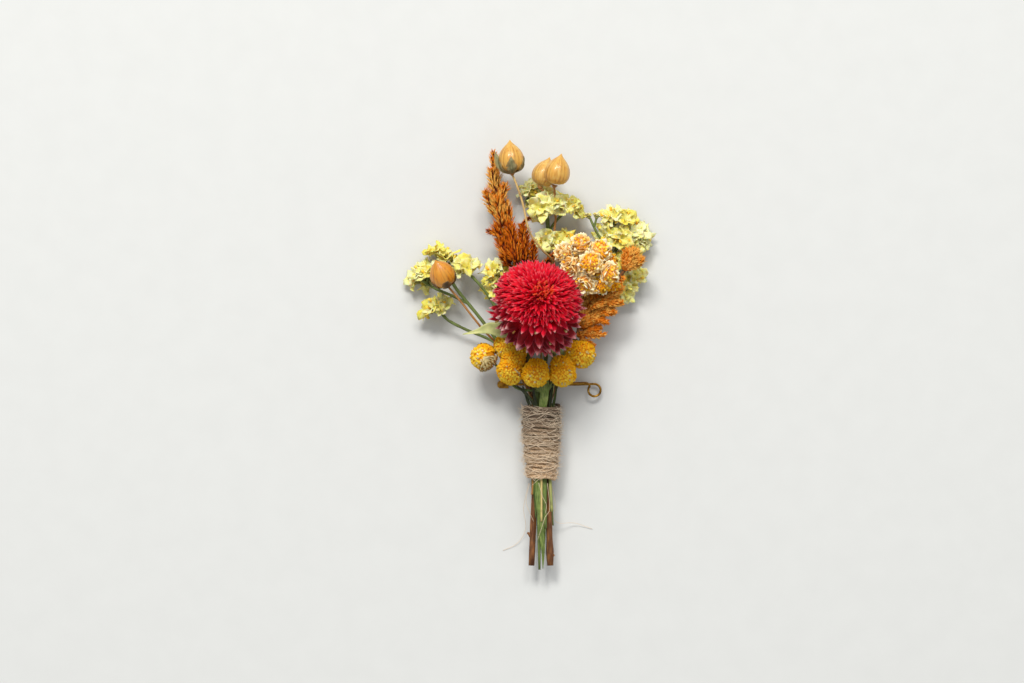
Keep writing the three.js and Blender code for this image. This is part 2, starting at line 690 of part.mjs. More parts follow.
function staticeLeft() {
  const main = [
    ...bound(2, 210, -56, 0.85),
    [-4.4, -8, 4.2],
    [-9.6, 0, 4.2],
    [-14.5, 6.5, 4.6],
    [-18, 11.1, 5.0],
    [-22.5, 16.6, 5.2],
    [-25.6, 20.6, 5.2],
    [-27.4, 24.4, 4.8],
    [-29.0, 27.6, 4.6],
  ];
  const low = [
    [-11.5, 2.6, 4.3],
    [-15.9, 5.0, 3.6],
    [-21.7, 7.4, 4.0],
    [-27.4, 10.3, 4.6],
    [-29.2, 12.0, 4.4],
  ];
  const stems = [
    [main, 0.5],
    [[[-21.6, 15.4, 5.1], [-26.4, 17.8, 4.6], [-30.6, 19.6, 4.2], [-34, 21.4, 3.4]], 0.42],
    [low, 0.45],
  ];
  const florets = [
    [[-30.8, 29.6, 3.8], [-0.2, 0.9, 0.5], 0.98],
    [[-28.6, 28.4, 2.8], [0, 0.5, 0.85], 1.05],
    [[-35.8, 23.0, 2.6], [-0.8, 0.4, 0.55], 1.05],
    [[-33.6, 24.0, 2.8], [-0.3, 0.6, 0.75], 1],
    [[-33.0, 22.0, 2.9], [-0.3, 0.5, -0.85], 0.95],
    [[-31.4, 13.4, 4.0], [-0.75, 0.3, 0.65], 1.05],
    [[-29.6, 14.2, 3.6], [0.1, 0.65, 0.75], 0.95],
  ];
  return staticeSpray(stems, florets, 5);
}

function staticeBack() {
  const main = [
    ...bound(1, 240, -45, 1.1),
    [-1.6, -9, 4.4],
    [-5, 2, 4.2],
    [-8.4, 10, 4.8],
    [-11, 17, 5.2],
    [-12.4, 22, 5.6],
  ];
  const stems = [
    [main, 0.45],
    [[[-8.0, 9, 4.8], [-12.4, 13, 6.4], [-16.6, 19.4, 7.0], [-20.4, 23.6, 6.8]], 0.45],
  ];
  const florets = [
    [[-13.2, 24.0, 5.0], [-0.3, 0.6, 0.75], 1.05],
    [[-10.6, 23.8, 4.6], [0.3, 0.55, 0.75], 1],
    [[-13.4, 20.2, 5.0], [-0.7, 0, 0.75], 0.95],
    [[-21.9, 25.4, 5.6], [-0.05, 0.6, 0.8], 1.05],
  ];
  return staticeSpray(stems, florets, 7);
}

function staticeRight() {
  const main = [
    ...bound(2, 330, -51.3, 1.25),
    [5.8, -8, 4.2],
    [11, 2, 3.8],
    [16.6, 14, 3.6],
    [20.4, 24, 3.8],
    [22.6, 31, 4.0],
    [24.6, 36, 3.8],
  ];
  const inner = [
    [22.0, 29, 4.0],
    [19.6, 33.4, 5.4],
    [17.2, 36.6, 6.2],
    [16.1, 38.8, 6.4],
    [15.0, 41.2, 6.4],
  ];
  const stems = [
    [main, 0.5],
    [inner, 0.38],
    [[[16.3, 38.4, 6.4], [16.8, 40.4, 6.8], [17.0, 41.2, 6.8]], 0.5],
    [[[23.0, 32, 4.0], [27.0, 34.4, 3.6], [29.6, 35.2, 3.2]], 0.38],
    [[[19.2, 21, 3.8], [23.0, 20.8, 3.6], [25.4, 21.8, 3.4]], 0.38],
  ];
  const florets = [
    [[21.8, 40.6, 4.0], [-0.3, 0.7, 0.7], 1],
    [[25.4, 39.4, 3.6], [0.1, 0.75, 0.7], 1.1],
    [[28.8, 36.6, 3.2], [0.4, 0.6, 0.7], 1.1],
    [[31.0, 34.6, 3.0], [0.8, 0.1, 0.5], 1.05],
    [[24.6, 34.8, 4.4], [-0.1, 0.1, 1], 1.15],
    [[20.4, 35.6, 4.2], [-0.65, 0.3, 0.75], 1],
    [[27.0, 32.4, 3.2], [0.2, -0.4, 0.9], 1.05],
    [[23.0, 27.6, 3.2], [-0.1, 0.2, 1], 0.95],
    [[28.0, 23.8, 2.8], [0.5, 0.2, 0.85], 1],
    [[25.6, 19.8, 2.8], [0.4, -0.5, 0.8], 0.95],
    [[28.4, 35.0, 2.9], [0.3, 0.3, -0.9], 0.95],
  ];
  const scaleRib = [[22.9, 36.6, 5.6], [22.8, 38.6, 6.8], [23.0, 41.4, 7.2]];
  return staticeSpray(stems, florets, 9, [leaf(scaleRib, [0.4, 1.0, 0.3], [0, 0, 1])]);
}

function statice() {
  const group = new THREE.Group();
  const sprays = { top: staticeTop(), left: staticeLeft(), back: staticeBack(), right: staticeRight() };
  for (const [name, spray] of Object.entries(sprays)) {
    group.add(partMesh(`statice_${name}`, spray, COLOURS.statice));
  }
  return group;
}

// The whole bunch, moved so that its origin is the bottom centre of its box
const bunch = new THREE.Group();
bunch.add(binding(), amaranth(), flax(), goldenButtons(), everlastings(), plumes(), statice());
const box = new THREE.Box3().setFromObject(bunch, true);
const middle = box.getCenter(new THREE.Vector3());
bunch.position.set(-middle.x, -middle.y, -box.min.z);

export default bunch;
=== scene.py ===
# A dried-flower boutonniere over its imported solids: finer flowers, capsules, stems, twine and pin
import math
import random

import bmesh
import bpy
from mathutils import Matrix, Vector, noise
from mathutils.geometry import interpolate_bezier


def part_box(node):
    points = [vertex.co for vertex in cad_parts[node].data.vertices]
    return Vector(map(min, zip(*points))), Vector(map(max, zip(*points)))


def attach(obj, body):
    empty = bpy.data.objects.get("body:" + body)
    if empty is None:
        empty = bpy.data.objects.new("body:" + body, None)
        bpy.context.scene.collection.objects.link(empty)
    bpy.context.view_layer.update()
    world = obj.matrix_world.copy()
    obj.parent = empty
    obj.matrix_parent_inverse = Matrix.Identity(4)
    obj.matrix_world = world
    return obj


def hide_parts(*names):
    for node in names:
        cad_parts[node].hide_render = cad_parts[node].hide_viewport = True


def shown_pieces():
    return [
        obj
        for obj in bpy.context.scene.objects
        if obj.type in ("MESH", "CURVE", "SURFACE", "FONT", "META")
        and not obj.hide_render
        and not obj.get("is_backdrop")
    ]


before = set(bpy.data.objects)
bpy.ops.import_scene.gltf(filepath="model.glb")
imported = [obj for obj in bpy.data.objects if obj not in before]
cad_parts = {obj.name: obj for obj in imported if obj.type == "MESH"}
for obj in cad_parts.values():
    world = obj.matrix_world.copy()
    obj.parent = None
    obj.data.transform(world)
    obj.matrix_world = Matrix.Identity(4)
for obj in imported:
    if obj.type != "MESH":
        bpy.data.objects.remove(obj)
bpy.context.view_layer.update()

# The bunch is laid out in millimetres as seen from above, with its flowers towards +Y.
# This shift takes the layout to the frame's origin.
layoutShift = (2.3865, -0.0198, 0)
toFrame = Matrix.Scale(0.001, 4) @ Matrix.Translation(layoutShift)
goldenAngle = math.pi * (3 - math.sqrt(5))
noise.seed_set(5)  # otherwise noise_vector differs from run to run


# Small tools

def paint(red, green, blue):  # screen colour, 0 to 255, to the linear colour that shaders use
    return (*[(part / 255) ** 2.2 for part in (red, green, blue)], 1)


def smoothStep(value, low, high):
    share = min(1, max(0, (value - low) / (high - low)))
    return share * share * (3 - 2 * share)


def mix(low, high, share):
    return low + (high - low) * share


def follow(outline, share):  # the width that an outline of (share, width) pairs has at a share
    for (before, low), (after, high) in zip(outline, outline[1:]):
        if share <= after:
            return mix(low, high, (share - before) / (after - before))
    return outline[-1][1]


def towards(root, along, face, size):  # takes +Y to along and +Z to the face's side
    along = Vector(along).normalized()
    across = along.cross(Vector(face)).normalized()
    turn = Matrix((across, along, across.cross(along))).transposed().to_4x4()
    return Matrix.Translation(root) @ turn @ Matrix.Diagonal((*size, 1))


def standing(axis):  # the turn that takes +Z to the axis
    return Vector(axis).normalized().to_track_quat("Z", "Y")


def upright(place, axis):
    return Matrix.Translation(place) @ standing(axis).to_matrix().to_4x4()


def behind(place, facing, distance):
    return Vector(place) - Vector(facing).normalized() * distance


def scatter(rng, size):
    return size * Vector([rng.uniform(-1, 1) for _ in range(3)])


# Even directions on a ball, from its top down to a lowest height
def spiral(count, lowest):
    for i in range(count):
        height = 1 - (1 - lowest) * (i + 0.5) / count
        wide = math.sqrt(1 - height * height)
        yield Vector((wide * math.cos(i * goldenAngle), wide * math.sin(i * goldenAngle), height))


# Materials: a wire is a socket that takes part in sums

class Wire:
    def __init__(self, look, socket):
        self.look, self.socket = look, socket

    def maths(self, operation, *others):
        return self.look.node("Math", {"operation": operation}, dict(enumerate((self, *others))))

    def __add__(self, other):
        return self.maths("ADD", other)

    def __mul__(self, other):
        return self.maths("MULTIPLY", other)

    def __sub__(self, other):
        return self.maths("SUBTRACT", other)

    def __rsub__(self, other):
        return self * -1 + other

    __radd__ = __add__
    __rmul__ = __mul__


class Look:
    def __init__(self, name):
        self.material = bpy.data.materials.new(name)
        self.material.use_nodes = True
        self.tree = self.material.node_tree
        self.tree.nodes.clear()

    def node(self, kind, settings=None, inputs=None, out=0):
        node = self.tree.nodes.new("ShaderNode" + kind)
        for key, value in (settings or {}).items():
            if key == "stops":
                elements = node.color_ramp.elements
                while len(elements) < len(value):
                    elements.new(1)
                for element, (position, colour) in zip(elements, value):
                    element.position, element.color = position, colour
            else:
                setattr(node, key, value)
        for key, value in (inputs or {}).items():
            if isinstance(value, Wire):
                self.tree.links.new(value.socket, node.inputs[key])
            else:
                node.inputs[key].default_value = value
        return Wire(self, node.outputs[out]) if node.outputs else None

    def grain(self, scale, stretch=(1, 1, 1), detail=4, distortion=0):  # features per millimetre
        place = self.node("TexCoord", out="Object")
        spread = [1000 * share for share in stretch]
        mapped = self.node("Mapping", inputs={"Vector": place, "Scale": spread})
        values = {"Vector": mapped, "Scale": scale, "Detail": detail, "Distortion": distortion}
        return self.node("TexNoise", inputs=values)

    def ramp(self, value, *stops):  # each stop is a position and a screen colour
        painted = [(position, paint(*colour)) for position, *colour in stops]
        return self.node("ValToRGB", {"stops": painted}, {"Fac": value}, out="Color")

    def between(self, value, low, high, start=0, end=1):
        values = {"Value": value, "From Min": low, "From Max": high, "To Min": start, "To Max": end}
        return self.node("MapRange", inputs=values)

    def mix(self, first, second, share):
        return self.node("Mix", {"data_type": "RGBA"}, {0: share, 6: first, 7: second}, out=2)

    def own(self, name):  # a value that the mesh carries
        return self.node("Attribute", {"attribute_name": name}, out="Fac")

    def along(self):  # 0 at the root of a petal and 1 at its tip
        flat = self.node("TexCoord", out="UV")
        return self.node("SeparateXYZ", inputs={"Vector": flat}, out="Y")

    def aside(self):  # 0 along the middle of a petal and 1 at its edges
        flat = self.node("TexCoord", out="UV")
        across = self.node("SeparateXYZ", inputs={"Vector": flat}, out="X")
        return (across - 0.5).maths("ABSOLUTE") * 2

    def bump(self, height, depth, strength):  # depth in millimetres
        values = {"Height": height, "Distance": depth * 0.001, "Strength": strength}
        return self.node("Bump", inputs=values)

    def finish(self, colour, roughness, bump=None, **fixed):
        values = {"Base Color": colour, "Roughness": roughness}
        if bump:
            values["Normal"] = bump
        for key, value in fixed.items():
            values[key.replace("_", " ")] = value
        shader = self.node("BsdfPrincipled", inputs=values)
        self.node("OutputMaterial", inputs={"Surface": shader})
        return self.material


# Meshes: every mesh carries a tone, which picks its colour, and a tint, which varies it

def startMesh():
    bm = bmesh.new()
    bm.loops.layers.uv.new("UVMap")
    for name in ("tone", "tint"):
        bm.verts.layers.float.new(name)
    return bm


def keepMesh(bm, name):
    mesh = bpy.data.meshes.new(name)
    bm.to_mesh(mesh)
    bm.free()
    return mesh


def colourMesh(mesh, tone, tint, material):
    for name, value in (("tone", tone), ("tint", tint)):
        layer = mesh.attributes.get(name) or mesh.attributes.new(name, "FLOAT", "POINT")
        layer.data.foreach_set("value", [value] * len(mesh.vertices))
    mesh.polygons.foreach_set("material_index", [material] * len(mesh.polygons))


def setDown(bm, mesh, place, tone, tint, material=0):
    colourMesh(mesh, tone, tint, material)
    mesh.transform(place)
    bm.from_mesh(mesh)
    mesh.transform(place.inverted())


def finishPiece(name, bm, materials, replaced=()):
    mesh = keepMesh(bm, name)
    mesh.transform(toFrame)
    for material in materials:
        mesh.materials.append(material)
    mesh.polygons.foreach_set("use_smooth", [True] * len(mesh.polygons))
    piece = bpy.data.objects.new(name, mesh)
    bpy.context.collection.objects.link(piece)
    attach(piece, "root")
    if replaced:
        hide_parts(*replaced)
    return piece


# Gives a crumpled sheet its thickness, without the spikes that an even wall grows at sharp folds
def thicken(bm, thickness):
    bm.normal_update()
    for item in bmesh.ops.extrude_face_region(bm, geom=bm.faces[:])["geom"]:
        if isinstance(item, bmesh.types.BMVert):
            item.co += item.normal * thickness
    bmesh.ops.recalc_face_normals(bm, faces=bm.faces[:])


# A flat piece shaped by a rule for each of its points: across from -1 to 1, along from 0 to 1
def petal(name, columns, rows, thickness, shape):
    bm = startMesh()
    bmesh.ops.create_grid(bm, x_segments=columns, y_segments=rows, size=0.5, calc_uvs=True)
    for vert in bm.verts:
        vert.co = shape(vert.co.x * 2, vert.co.y + 0.5)
    bmesh.ops.solidify(bm, geom=bm.faces[:], thickness=thickness)
    return keepMesh(bm, name)


# Tells the finish how far along a petal each point lies
def setAlong(bm, share):
    layer = bm.loops.layers.uv["UVMap"]
    for face in bm.faces:
        for loop in face.loops:
            loop[layer].uv = (0.5, share(loop.vert))


# A path through listed points that keeps to them, as [point, radius] pairs
def smoothPath(points, radii, steps=6):
    points = [Vector(point) for point in points]
    if not isinstance(radii, (list, tuple)):
        radii = [radii] * len(points)
    last = len(points) - 1
    lean = []
    for i, point in enumerate(points):
        before, after = points[max(0, i - 1)], points[min(last, i + 1)]
        lean.append((after - before).normalized())
    path = []
    for i in range(last):
        reach = (points[i + 1] - points[i]).length / 3
        handles = (points[i] + lean[i] * reach, points[i + 1] - lean[i + 1] * reach)
        run = interpolate_bezier(points[i], *handles, points[i + 1], steps + 1)
        for j, point in enumerate(run[: steps + (i == last - 1)]):
            path.append((Vector(point), mix(radii[i], radii[i + 1], j / steps)))
    return path


tubeForm = {"lumps": 0.9, "seam": 1e-4}  # lumps per millimetre, and how near points are joined at the ends


# Tubes along paths, joined to a mesh. They have four sides, and two more for each step of resolution.
def addTubes(bm, paths, tone, tint, resolution=1, material=0, uneven=0.0):
    curve = bpy.data.curves.new("tubes", "CURVE")
    curve.dimensions = "3D"
    curve.bevel_depth = 1
    curve.bevel_resolution = resolution
    curve.use_fill_caps = True
    for path in paths:
        spline = curve.splines.new("POLY")
        spline.points.add(len(path) - 1)
        for target, (point, radius) in zip(spline.points, path):
            target.co = (*point, 1)
            target.radius = radius * (1 + uneven * noise.noise(point * tubeForm["lumps"]))
    holder = bpy.data.objects.new("tubes", curve)
    mesh = bpy.data.meshes.new_from_object(holder)
    tubes = bmesh.new()
    tubes.from_mesh(mesh)
    bmesh.ops.remove_doubles(tubes, verts=tubes.verts[:], dist=tubeForm["seam"])
    tubes.to_mesh(mesh)
    tubes.free()
    colourMesh(mesh, tone, tint, material)
    bm.from_mesh(mesh)
    bpy.data.objects.remove(holder)
    bpy.data.curves.remove(curve)
    bpy.data.meshes.remove(mesh)


pressing = {"lowest": 0.05, "depth": 0.95}  # how near the table a sheet comes, and the depth that flattens it


# Presses what would dip under the table against it, and keeps its folds in order
def settle(bm):
    lowest, depth = pressing["lowest"], pressing["depth"]
    for vert in bm.verts:
        past = vert.co.z - lowest - depth
        if past < 0:
            vert.co.z = lowest + depth * math.exp(past / depth)


# Camera, floor and light

photoView = {
    "width": 0.3072,  # metres seen across, at the level's height
    "level": 0.01,
    "middle": (-8.4, 4.05),
    "height": 2.5,
}
studio = {
    "floor": (paint(213, 214, 212), paint(211, 212, 210)),
    "floorSize": 3,
    "sky": (0.98, 0.99, 1, 1),
    "skyStrength": 0.53,
    "windowLight": (1, 0.985, 0.95),
    "windows": (  # place, size in metres, and strength
        ((-0.38, 1.17, 1.32), (0.5, 0.4), 22),
        ((0.26, 1.2, 1.32), (0.6, 0.4), 11),
    ),
}


def buildStudio():
    bpy.context.scene.view_settings.view_transform = "Standard"
    middle = toFrame @ Vector((*photoView["middle"], 0))
    data = bpy.data.cameras.new("photoCamera")
    data.lens = data.sensor_width * (photoView["height"] - photoView["level"]) / photoView["width"]
    camera = bpy.data.objects.new("photoCamera", data)
    camera.location = (middle.x, middle.y, photoView["height"])
    bpy.context.collection.objects.link(camera)
    bpy.context.scene.camera = camera

    bm = bmesh.new()
    bmesh.ops.create_grid(bm, x_segments=1, y_segments=1, size=studio["floorSize"])
    mesh = keepMesh(bm, "floor")
    look = Look("wallPaint")
    relief = look.grain(0.12, detail=6)
    shade = look.mix(*studio["floor"], look.between(relief, 0.35, 0.7))
    mesh.materials.append(look.finish(shade, 0.85, look.bump(relief, 0.3, 0.1)))
    floor = bpy.data.objects.new("floor", mesh)
    bpy.context.collection.objects.link(floor)
    floor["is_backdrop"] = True

    for place, size, strength in studio["windows"]:
        light = bpy.data.lights.new("windowLight", "AREA")
        light.shape, light.energy, light.color = "RECTANGLE", strength, studio["windowLight"]
        light.size, light.size_y = size
        lamp = bpy.data.objects.new("windowLight", light)
        lamp.location = place
        lamp.rotation_euler = (-lamp.location).to_track_quat("-Z", "Y").to_euler()
        bpy.context.collection.objects.link(lamp)

    world = bpy.data.worlds.new("paleRoom")
    world.use_nodes = True
    sky = world.node_tree.nodes["Background"]
    sky.inputs["Color"].default_value = studio["sky"]
    sky.inputs["Strength"].default_value = studio["skyStrength"]
    bpy.context.scene.world = world


# Stems. Tones run from green at 0 through olive and straw to red-brown at 1.

def stemFinish():
    look = Look("dryStem")
    streak = look.grain(2.2, (1, 0.12, 1), 5)
    spots = look.grain(0.35, detail=3)
    tone = look.own("tone") + (look.own("tint") - 0.5) * 0.12 + (streak - 0.5) * 0.3
    colour = look.ramp(
        tone,
        (0.0, 82, 100, 48),
        (0.25, 134, 146, 80),
        (0.5, 204, 180, 116),
        (0.75, 166, 116, 60),
        (1.0, 132, 82, 42),
    )
    bark = look.between(streak, 0.38, 0.6, 0, 0.8) * look.between(look.own("tone"), 0.8, 0.95)
    barked = look.mix(colour, paint(70, 38, 20), bark)
    worn = look.mix(barked, paint(60, 44, 30), look.between(spots, 0.55, 0.75, 0, 0.45))
    return look.finish(worn, look.between(streak, 0.3, 0.7, 0.6, 0.85), look.bump(streak, 0.12, 0.8))


wrap = {  # the bound part of the bundle
    "x": 0.45,
    "z": 5.2,
    "top": -14.4,
    "bottom": -37.8,
    "inset": 0.8,  # from either end to the first and the last turn
    "radius": 4.55,
    "swell": 1.25,  # how much wider it is above
    "full": 6,  # how far under its top it has the full width
    "press": 0.98,
}
bundle = {"rings": (0, 1.87, 2.98), "below": 1.5, "above": 0.4, "opening": 0.1}


# The lower run of a stem: its cut end, its place in the twine, and the top of the twine
def bound(ring, degrees, endY, spread=1.2):
    angle, radius = math.radians(degrees), bundle["rings"][ring]
    x, z = radius * math.cos(angle), radius * math.sin(angle)
    rows = (
        (endY, spread),
        (wrap["bottom"] - bundle["below"], 1 + (spread - 1) * bundle["opening"]),
        (wrap["bottom"] + wrap["inset"], 1),
        (wrap["top"] - wrap["inset"], 1),
        (wrap["top"] + bundle["above"], 1),
    )
    return [(wrap["x"] + x * wide, y, wrap["z"] + z * wide) for y, wide in rows]


# Globe amaranth: a ball of papery bracts, fine and scarlet round its crown, broad and dark below

amaranth = {
    "centre": (-1.3, 13.6, 22.5),
    "axis": (0.17, 0.4, 0.9),
    "ball": (12.3, 9.6),  # radius of the filled middle, at the crown and below
    "fall": (0.7, 1.4),  # angles from the axis between which it narrows
    "neck": 11.7,  # from the centre down to the stem
    # The stem side is also turned from the light: there the bracts darken sooner, partly from their own
    # darker colour and partly as painted shade
    "stemSide": 0.9,  # how much sooner the bracts broaden on the side towards the stems
    "slimSide": (-0.88, -0.45, 0.1),
    "slimming": 2.1,  # how much shorter the bracts reach on the slim side
    "slimRoots": 0.7,  # the share of it by which their roots draw in
    "bracts": {
        "places": 3900,
        "lowest": -0.84,
        "jitter": 0.04,
        "spacing": 10.2,  # radius of the ball on which the space between two is taken
        "reach": 15.0,  # from the centre to the tips
        "reachRange": (-0.5, 0.5),
        "lean": (0.3, 0.88),  # at the very top and elsewhere
        "loose": (0.2, 0.4),  # range of the lean, at the crown and below
        "sway": 0.35,
        "lengthRange": (0.72, 1.2),
        "widthRange": (0.8, 1.15),
        "crownTones": ((0.02, 0.22, 0.3), (0.7, 1.15, 0.14)),  # tone gained between two angles from the axis
        # Tone gained further down the ball, and sooner on the stem side: partly the lower bracts' darker
        # colour, partly painted shade
        "lowAndShadedTones": ((0.3, 1.0, 0.2), (0.9, 1.5, 0.38)),
    },
    "tuft": {"count": 46, "lowest": 0.972, "root": 12.4, "size": (0.8, 2.4, 1.6)},
    "specks": {"count": 18, "skipped": 4, "lowest": -0.25, "root": 11.6, "size": (1, 1.2, 1)},
    "spikes": (  # long bracts at its left: root and tip
        ((-9.5, 12.0, 20.4), (-16.2, 12.7, 19.2)),
        ((-9.0, 10.4, 19.5), (-15.7, 10.9, 18.2)),
        ((-9.6, 13.6, 21.0), (-15.3, 14.3, 20.4)),
        ((-9.4, 15.0, 22.0), (-14.8, 17.0, 21.8)),
        ((-9.0, 11.2, 21.6), (-15.0, 11.9, 21.6)),
    ),
    "kinds": (  # how far down the ball, the space between two, how deep they root, and their form
        {"name": "fine", "to": 0.8, "space": 0, "root": 11.3, "length": 3.9, "width": 1.15,
         "grid": (2, 3), "taper": 2.2, "fold": 0.5, "bends": ((0.15, 0.6), (-0.12, -0.7), (0.3, 0.2))},
        {"name": "middle", "to": 1.15, "space": 1.2, "root": 10.6, "length": 5.0, "width": 2.3,
         "grid": (2, 4), "taper": 2.6, "fold": -0.3, "bends": ((0.12, 0.25), (0.24, -0.25))},
        {"name": "broad", "to": 9, "space": 2.0, "root": 9.2, "length": 7.2, "width": 4.0,
         "grid": (4, 6), "taper": 2.8, "fold": -0.35, "bends": ((0.08, 0.12), (0.2, -0.15))},
    ),
}


def bractFinish():
    look = Look("amaranthBract")
    tone, tint, along = look.own("tone"), look.own("tint"), look.along()
    body = look.ramp(
        tone + (tint - 0.5) * 0.3,
        (0.0, 248, 96, 52),
        (0.13, 232, 28, 46),
        (0.4, 214, 5, 41),
        (0.66, 172, 4, 38),
        (1.0, 94, 0, 14),
    )
    deep = look.mix(paint(180, 2, 28), body, look.between(along, 0.1, 0.6))
    pinkEnd = look.mix(deep, paint(226, 92, 112), look.between(along, 0.72, 1.0, 0, 0.3))
    rim = look.between(look.aside(), 0.7, 1.0) * look.between(tone, 0.4, 0.8, 0, 0.32)
    edged = look.mix(pinkEnd, paint(214, 84, 108), rim * look.between(along, 0.3, 0.8))
    paleTip = look.between(along, 0.8, 1.0) * look.between(tone, 0.25, 0.7, 0.05, 0.9) * tint
    tipped = look.mix(edged, paint(248, 202, 198), paleTip)
    veins = look.grain(3.5, detail=3)
    relief, glow = look.bump(veins, 0.08, 0.6), {"Subsurface_Weight": 0.3, "Subsurface_Scale": 0.0015}
    return look.finish(tipped, 0.7, relief, Specular_IOR_Level=0.15, **glow)


def bract(kind, curl, twist):
    def shape(across, along):
        wide = 0.5 * mix(0.45, 1, smoothStep(along, 0, 0.5)) * (1 - along ** kind["taper"]) + 0.01
        rise = kind["fold"] * abs(across) * wide + curl * along * along
        turn = twist * along
        return Vector((across * wide * math.cos(turn), along, rise + across * wide * math.sin(turn)))

    return petal(f"{kind['name']}Bract", *kind["grid"], 0.04, shape)


def buildAmaranthHead(finish, straw):
    lay, tuft, specks = [amaranth[part] for part in ("bracts", "tuft", "specks")]
    shapes = {kind["name"]: [bract(kind, *bend) for bend in kind["bends"]] for kind in amaranth["kinds"]}
    rng = random.Random(4)
    centre, axis = Vector(amaranth["centre"]), Vector(amaranth["axis"]).normalized()
    stand, slimSide = standing(axis), Vector(amaranth["slimSide"])

    def slimming(normal):
        return amaranth["slimming"] * smoothStep(normal.dot(slimSide), 0.3, 0.9)

    bm = startMesh()
    bmesh.ops.create_icosphere(bm, subdivisions=4, radius=1)
    for vert in bm.verts:
        # Narrower and darker down the ball, and sooner on the stem side; the darkening is partly the bracts'
        # colour, partly painted shade
        down = math.acos(max(-1, vert.co.dot(axis))) - amaranth["stemSide"] * vert.co.y
        fall = smoothStep(down, *amaranth["fall"])
        vert[bm.verts.layers.float["tone"]] = mix(0.4, 1, fall)
        radius = mix(*amaranth["ball"], fall) - amaranth["slimRoots"] * slimming(vert.co)
        vert.co = centre + vert.co * radius
    taken = []
    for flat in spiral(lay["places"], lay["lowest"]):
        flat = (flat + scatter(rng, lay["jitter"])).normalized()
        polar, normal = math.acos(flat.z), stand @ flat
        down = polar - amaranth["stemSide"] * normal.y
        kind = next(kind for kind in amaranth["kinds"] if down < kind["to"])
        if any((normal - other).length * lay["spacing"] < kind["space"] for other in taken):
            continue
        if kind["space"]:
            taken.append(normal)
        side, slim = axis.cross(normal).normalized(), slimming(normal)
        direction = normal.copy()
        loose = mix(*lay["loose"], smoothStep(down, 0.8, 1.3))
        lean = mix(*lay["lean"], smoothStep(polar, 0, 0.6)) + rng.uniform(-loose, loose)
        direction.rotate(Matrix.Rotation(lean, 3, side))
        direction = (direction + side * rng.uniform(-lay["sway"], lay["sway"])).normalized()
        root = centre + normal * (kind["root"] - amaranth["slimRoots"] * slim)
        length = kind["length"] * rng.uniform(*lay["lengthRange"])
        reach = lay["reach"] - slim + rng.uniform(*lay["reachRange"])
        length /= max(1, (root + direction * length - centre).length / reach) ** 2
        face = normal * 0.7 + axis * 0.5 + scatter(rng, 0.5)
        width = kind["width"] * rng.uniform(*lay["widthRange"])
        # Darker down the ball and on the stem side: partly the bracts' own colour, partly painted shade on
        # the side turned from the light
        tone = sum(gain * smoothStep(polar, low, high) for low, high, gain in lay["crownTones"])
        tone += sum(gain * smoothStep(down, low, high) for low, high, gain in lay["lowAndShadedTones"])
        turned = towards(root, direction, face, (width, length, length * 0.8))
        setDown(bm, rng.choice(shapes[kind["name"]]), turned, tone, rng.random())
    for flat in spiral(tuft["count"], tuft["lowest"]):
        normal = stand @ flat
        root, rise = centre + normal * tuft["root"], normal + scatter(rng, 0.4)
        turned = towards(root, rise, scatter(rng, 1), tuft["size"])
        setDown(bm, rng.choice(shapes["fine"]), turned, 0, rng.random())
    for root, tip in amaranth["spikes"]:
        along = Vector(tip) - Vector(root)
        turned = towards(root, along, scatter(rng, 0.6) + Vector((0, 0.2, 1)), (2.3, along.length, 5))
        setDown(bm, rng.choice(shapes["middle"]), turned, 0.66, rng.uniform(0.6, 1))
    speck = tinyFloret("amaranthSpeck", 0.2, 0.34)
    for flat in list(spiral(specks["count"], specks["lowest"]))[specks["skipped"]:]:
        normal = (stand @ flat + scatter(rng, 0.1)).normalized()
        turned = towards(centre + normal * specks["root"], normal, (0.3, 0.2, 0.9), specks["size"])
        setDown(bm, speck, turned, 0, rng.random(), 1)
    finishPiece("amaranthBracts", bm, [finish, straw], ["amaranth_head"])


leaves = {
    "columns": 6,
    "wave": 0.12,
    "fold": 0.32,
    "cup": 1.3,
    "amaranth": {  # rows of a point and the half width there
        "left": (
            (-4.2, 6.3, 9.3, 0.7), (-7.8, 7.2, 10.6, 1.6), (-11.4, 7.4, 13.0, 2.3),
            (-15.2, 7.9, 13.8, 1.7), (-18.6, 7.1, 13.4, 0.7), (-23.2, 6.2, 12.8, 0.1),
        ),
        "right": ((-4.2, 6.3, 9.3, 0.7), (0, 4.2, 10.2, 1.4), (4.6, 1.9, 11.4, 1.3), (8.8, -0.8, 12.0, 0.15)),
    },
    "blades": (  # leaf blades along the bundle: rows and tone
        (((-0.4, -34, 7.4, 0.9), (-0.4, -42, 8.2, 1.0), (0.3, -52, 8.0, 0.85), (0.9, -58, 7.2, 0.6),
          (0.9, -64.2, 6.0, 0.1)), -0.1),
        (((1.2, -34, 7.4, 0.5), (1.4, -42, 7.8, 0.55), (1.5, -50, 7.3, 0.4), (1.4, -57, 6.4, 0.1)), -0.2),
        (((-1.3, -34, 7.2, 0.4), (-1.5, -41, 7.4, 0.5), (-1.3, -49, 7.2, 0.1)), -0.25),
        (((0.6, -18, 8.6, 0.8), (1.0, -14.4, 9.2, 1.25), (1.4, -10.8, 9.8, 1.35),
          (1.7, -6.8, 10.2, 1.0)), -0.05),
        # These blades above the twine lie under the flower heads: their near-black tones are partly dark
        # green leaf, partly painted shade
        (((-1.0, -18, 8.2, 0.3), (-2.2, -14.2, 8.7, 0.4), (-4.6, -11.2, 9.0, 0.5),
          (-7.2, -9.0, 8.8, 0.1)), -0.7),
        (((-0.6, -18, 8.3, 0.3), (-1.4, -13.8, 9.1, 0.45), (-2.2, -9.6, 9.7, 0.3)), -0.75),
        (((-2.2, -18, 7.4, 0.3), (-3.6, -13.8, 7.7, 0.5), (-5.2, -9.4, 7.4, 0.2)), -0.7),
        (((2.6, -18, 7.8, 0.3), (3.2, -13.2, 8.4, 0.5), (3.8, -8.4, 8.8, 0.3)), -0.75),
        (((3.4, -18, 6.8, 0.3), (4.4, -13.2, 6.9, 0.4), (5.2, -8.4, 7.2, 0.2)), -0.5),
    ),
}


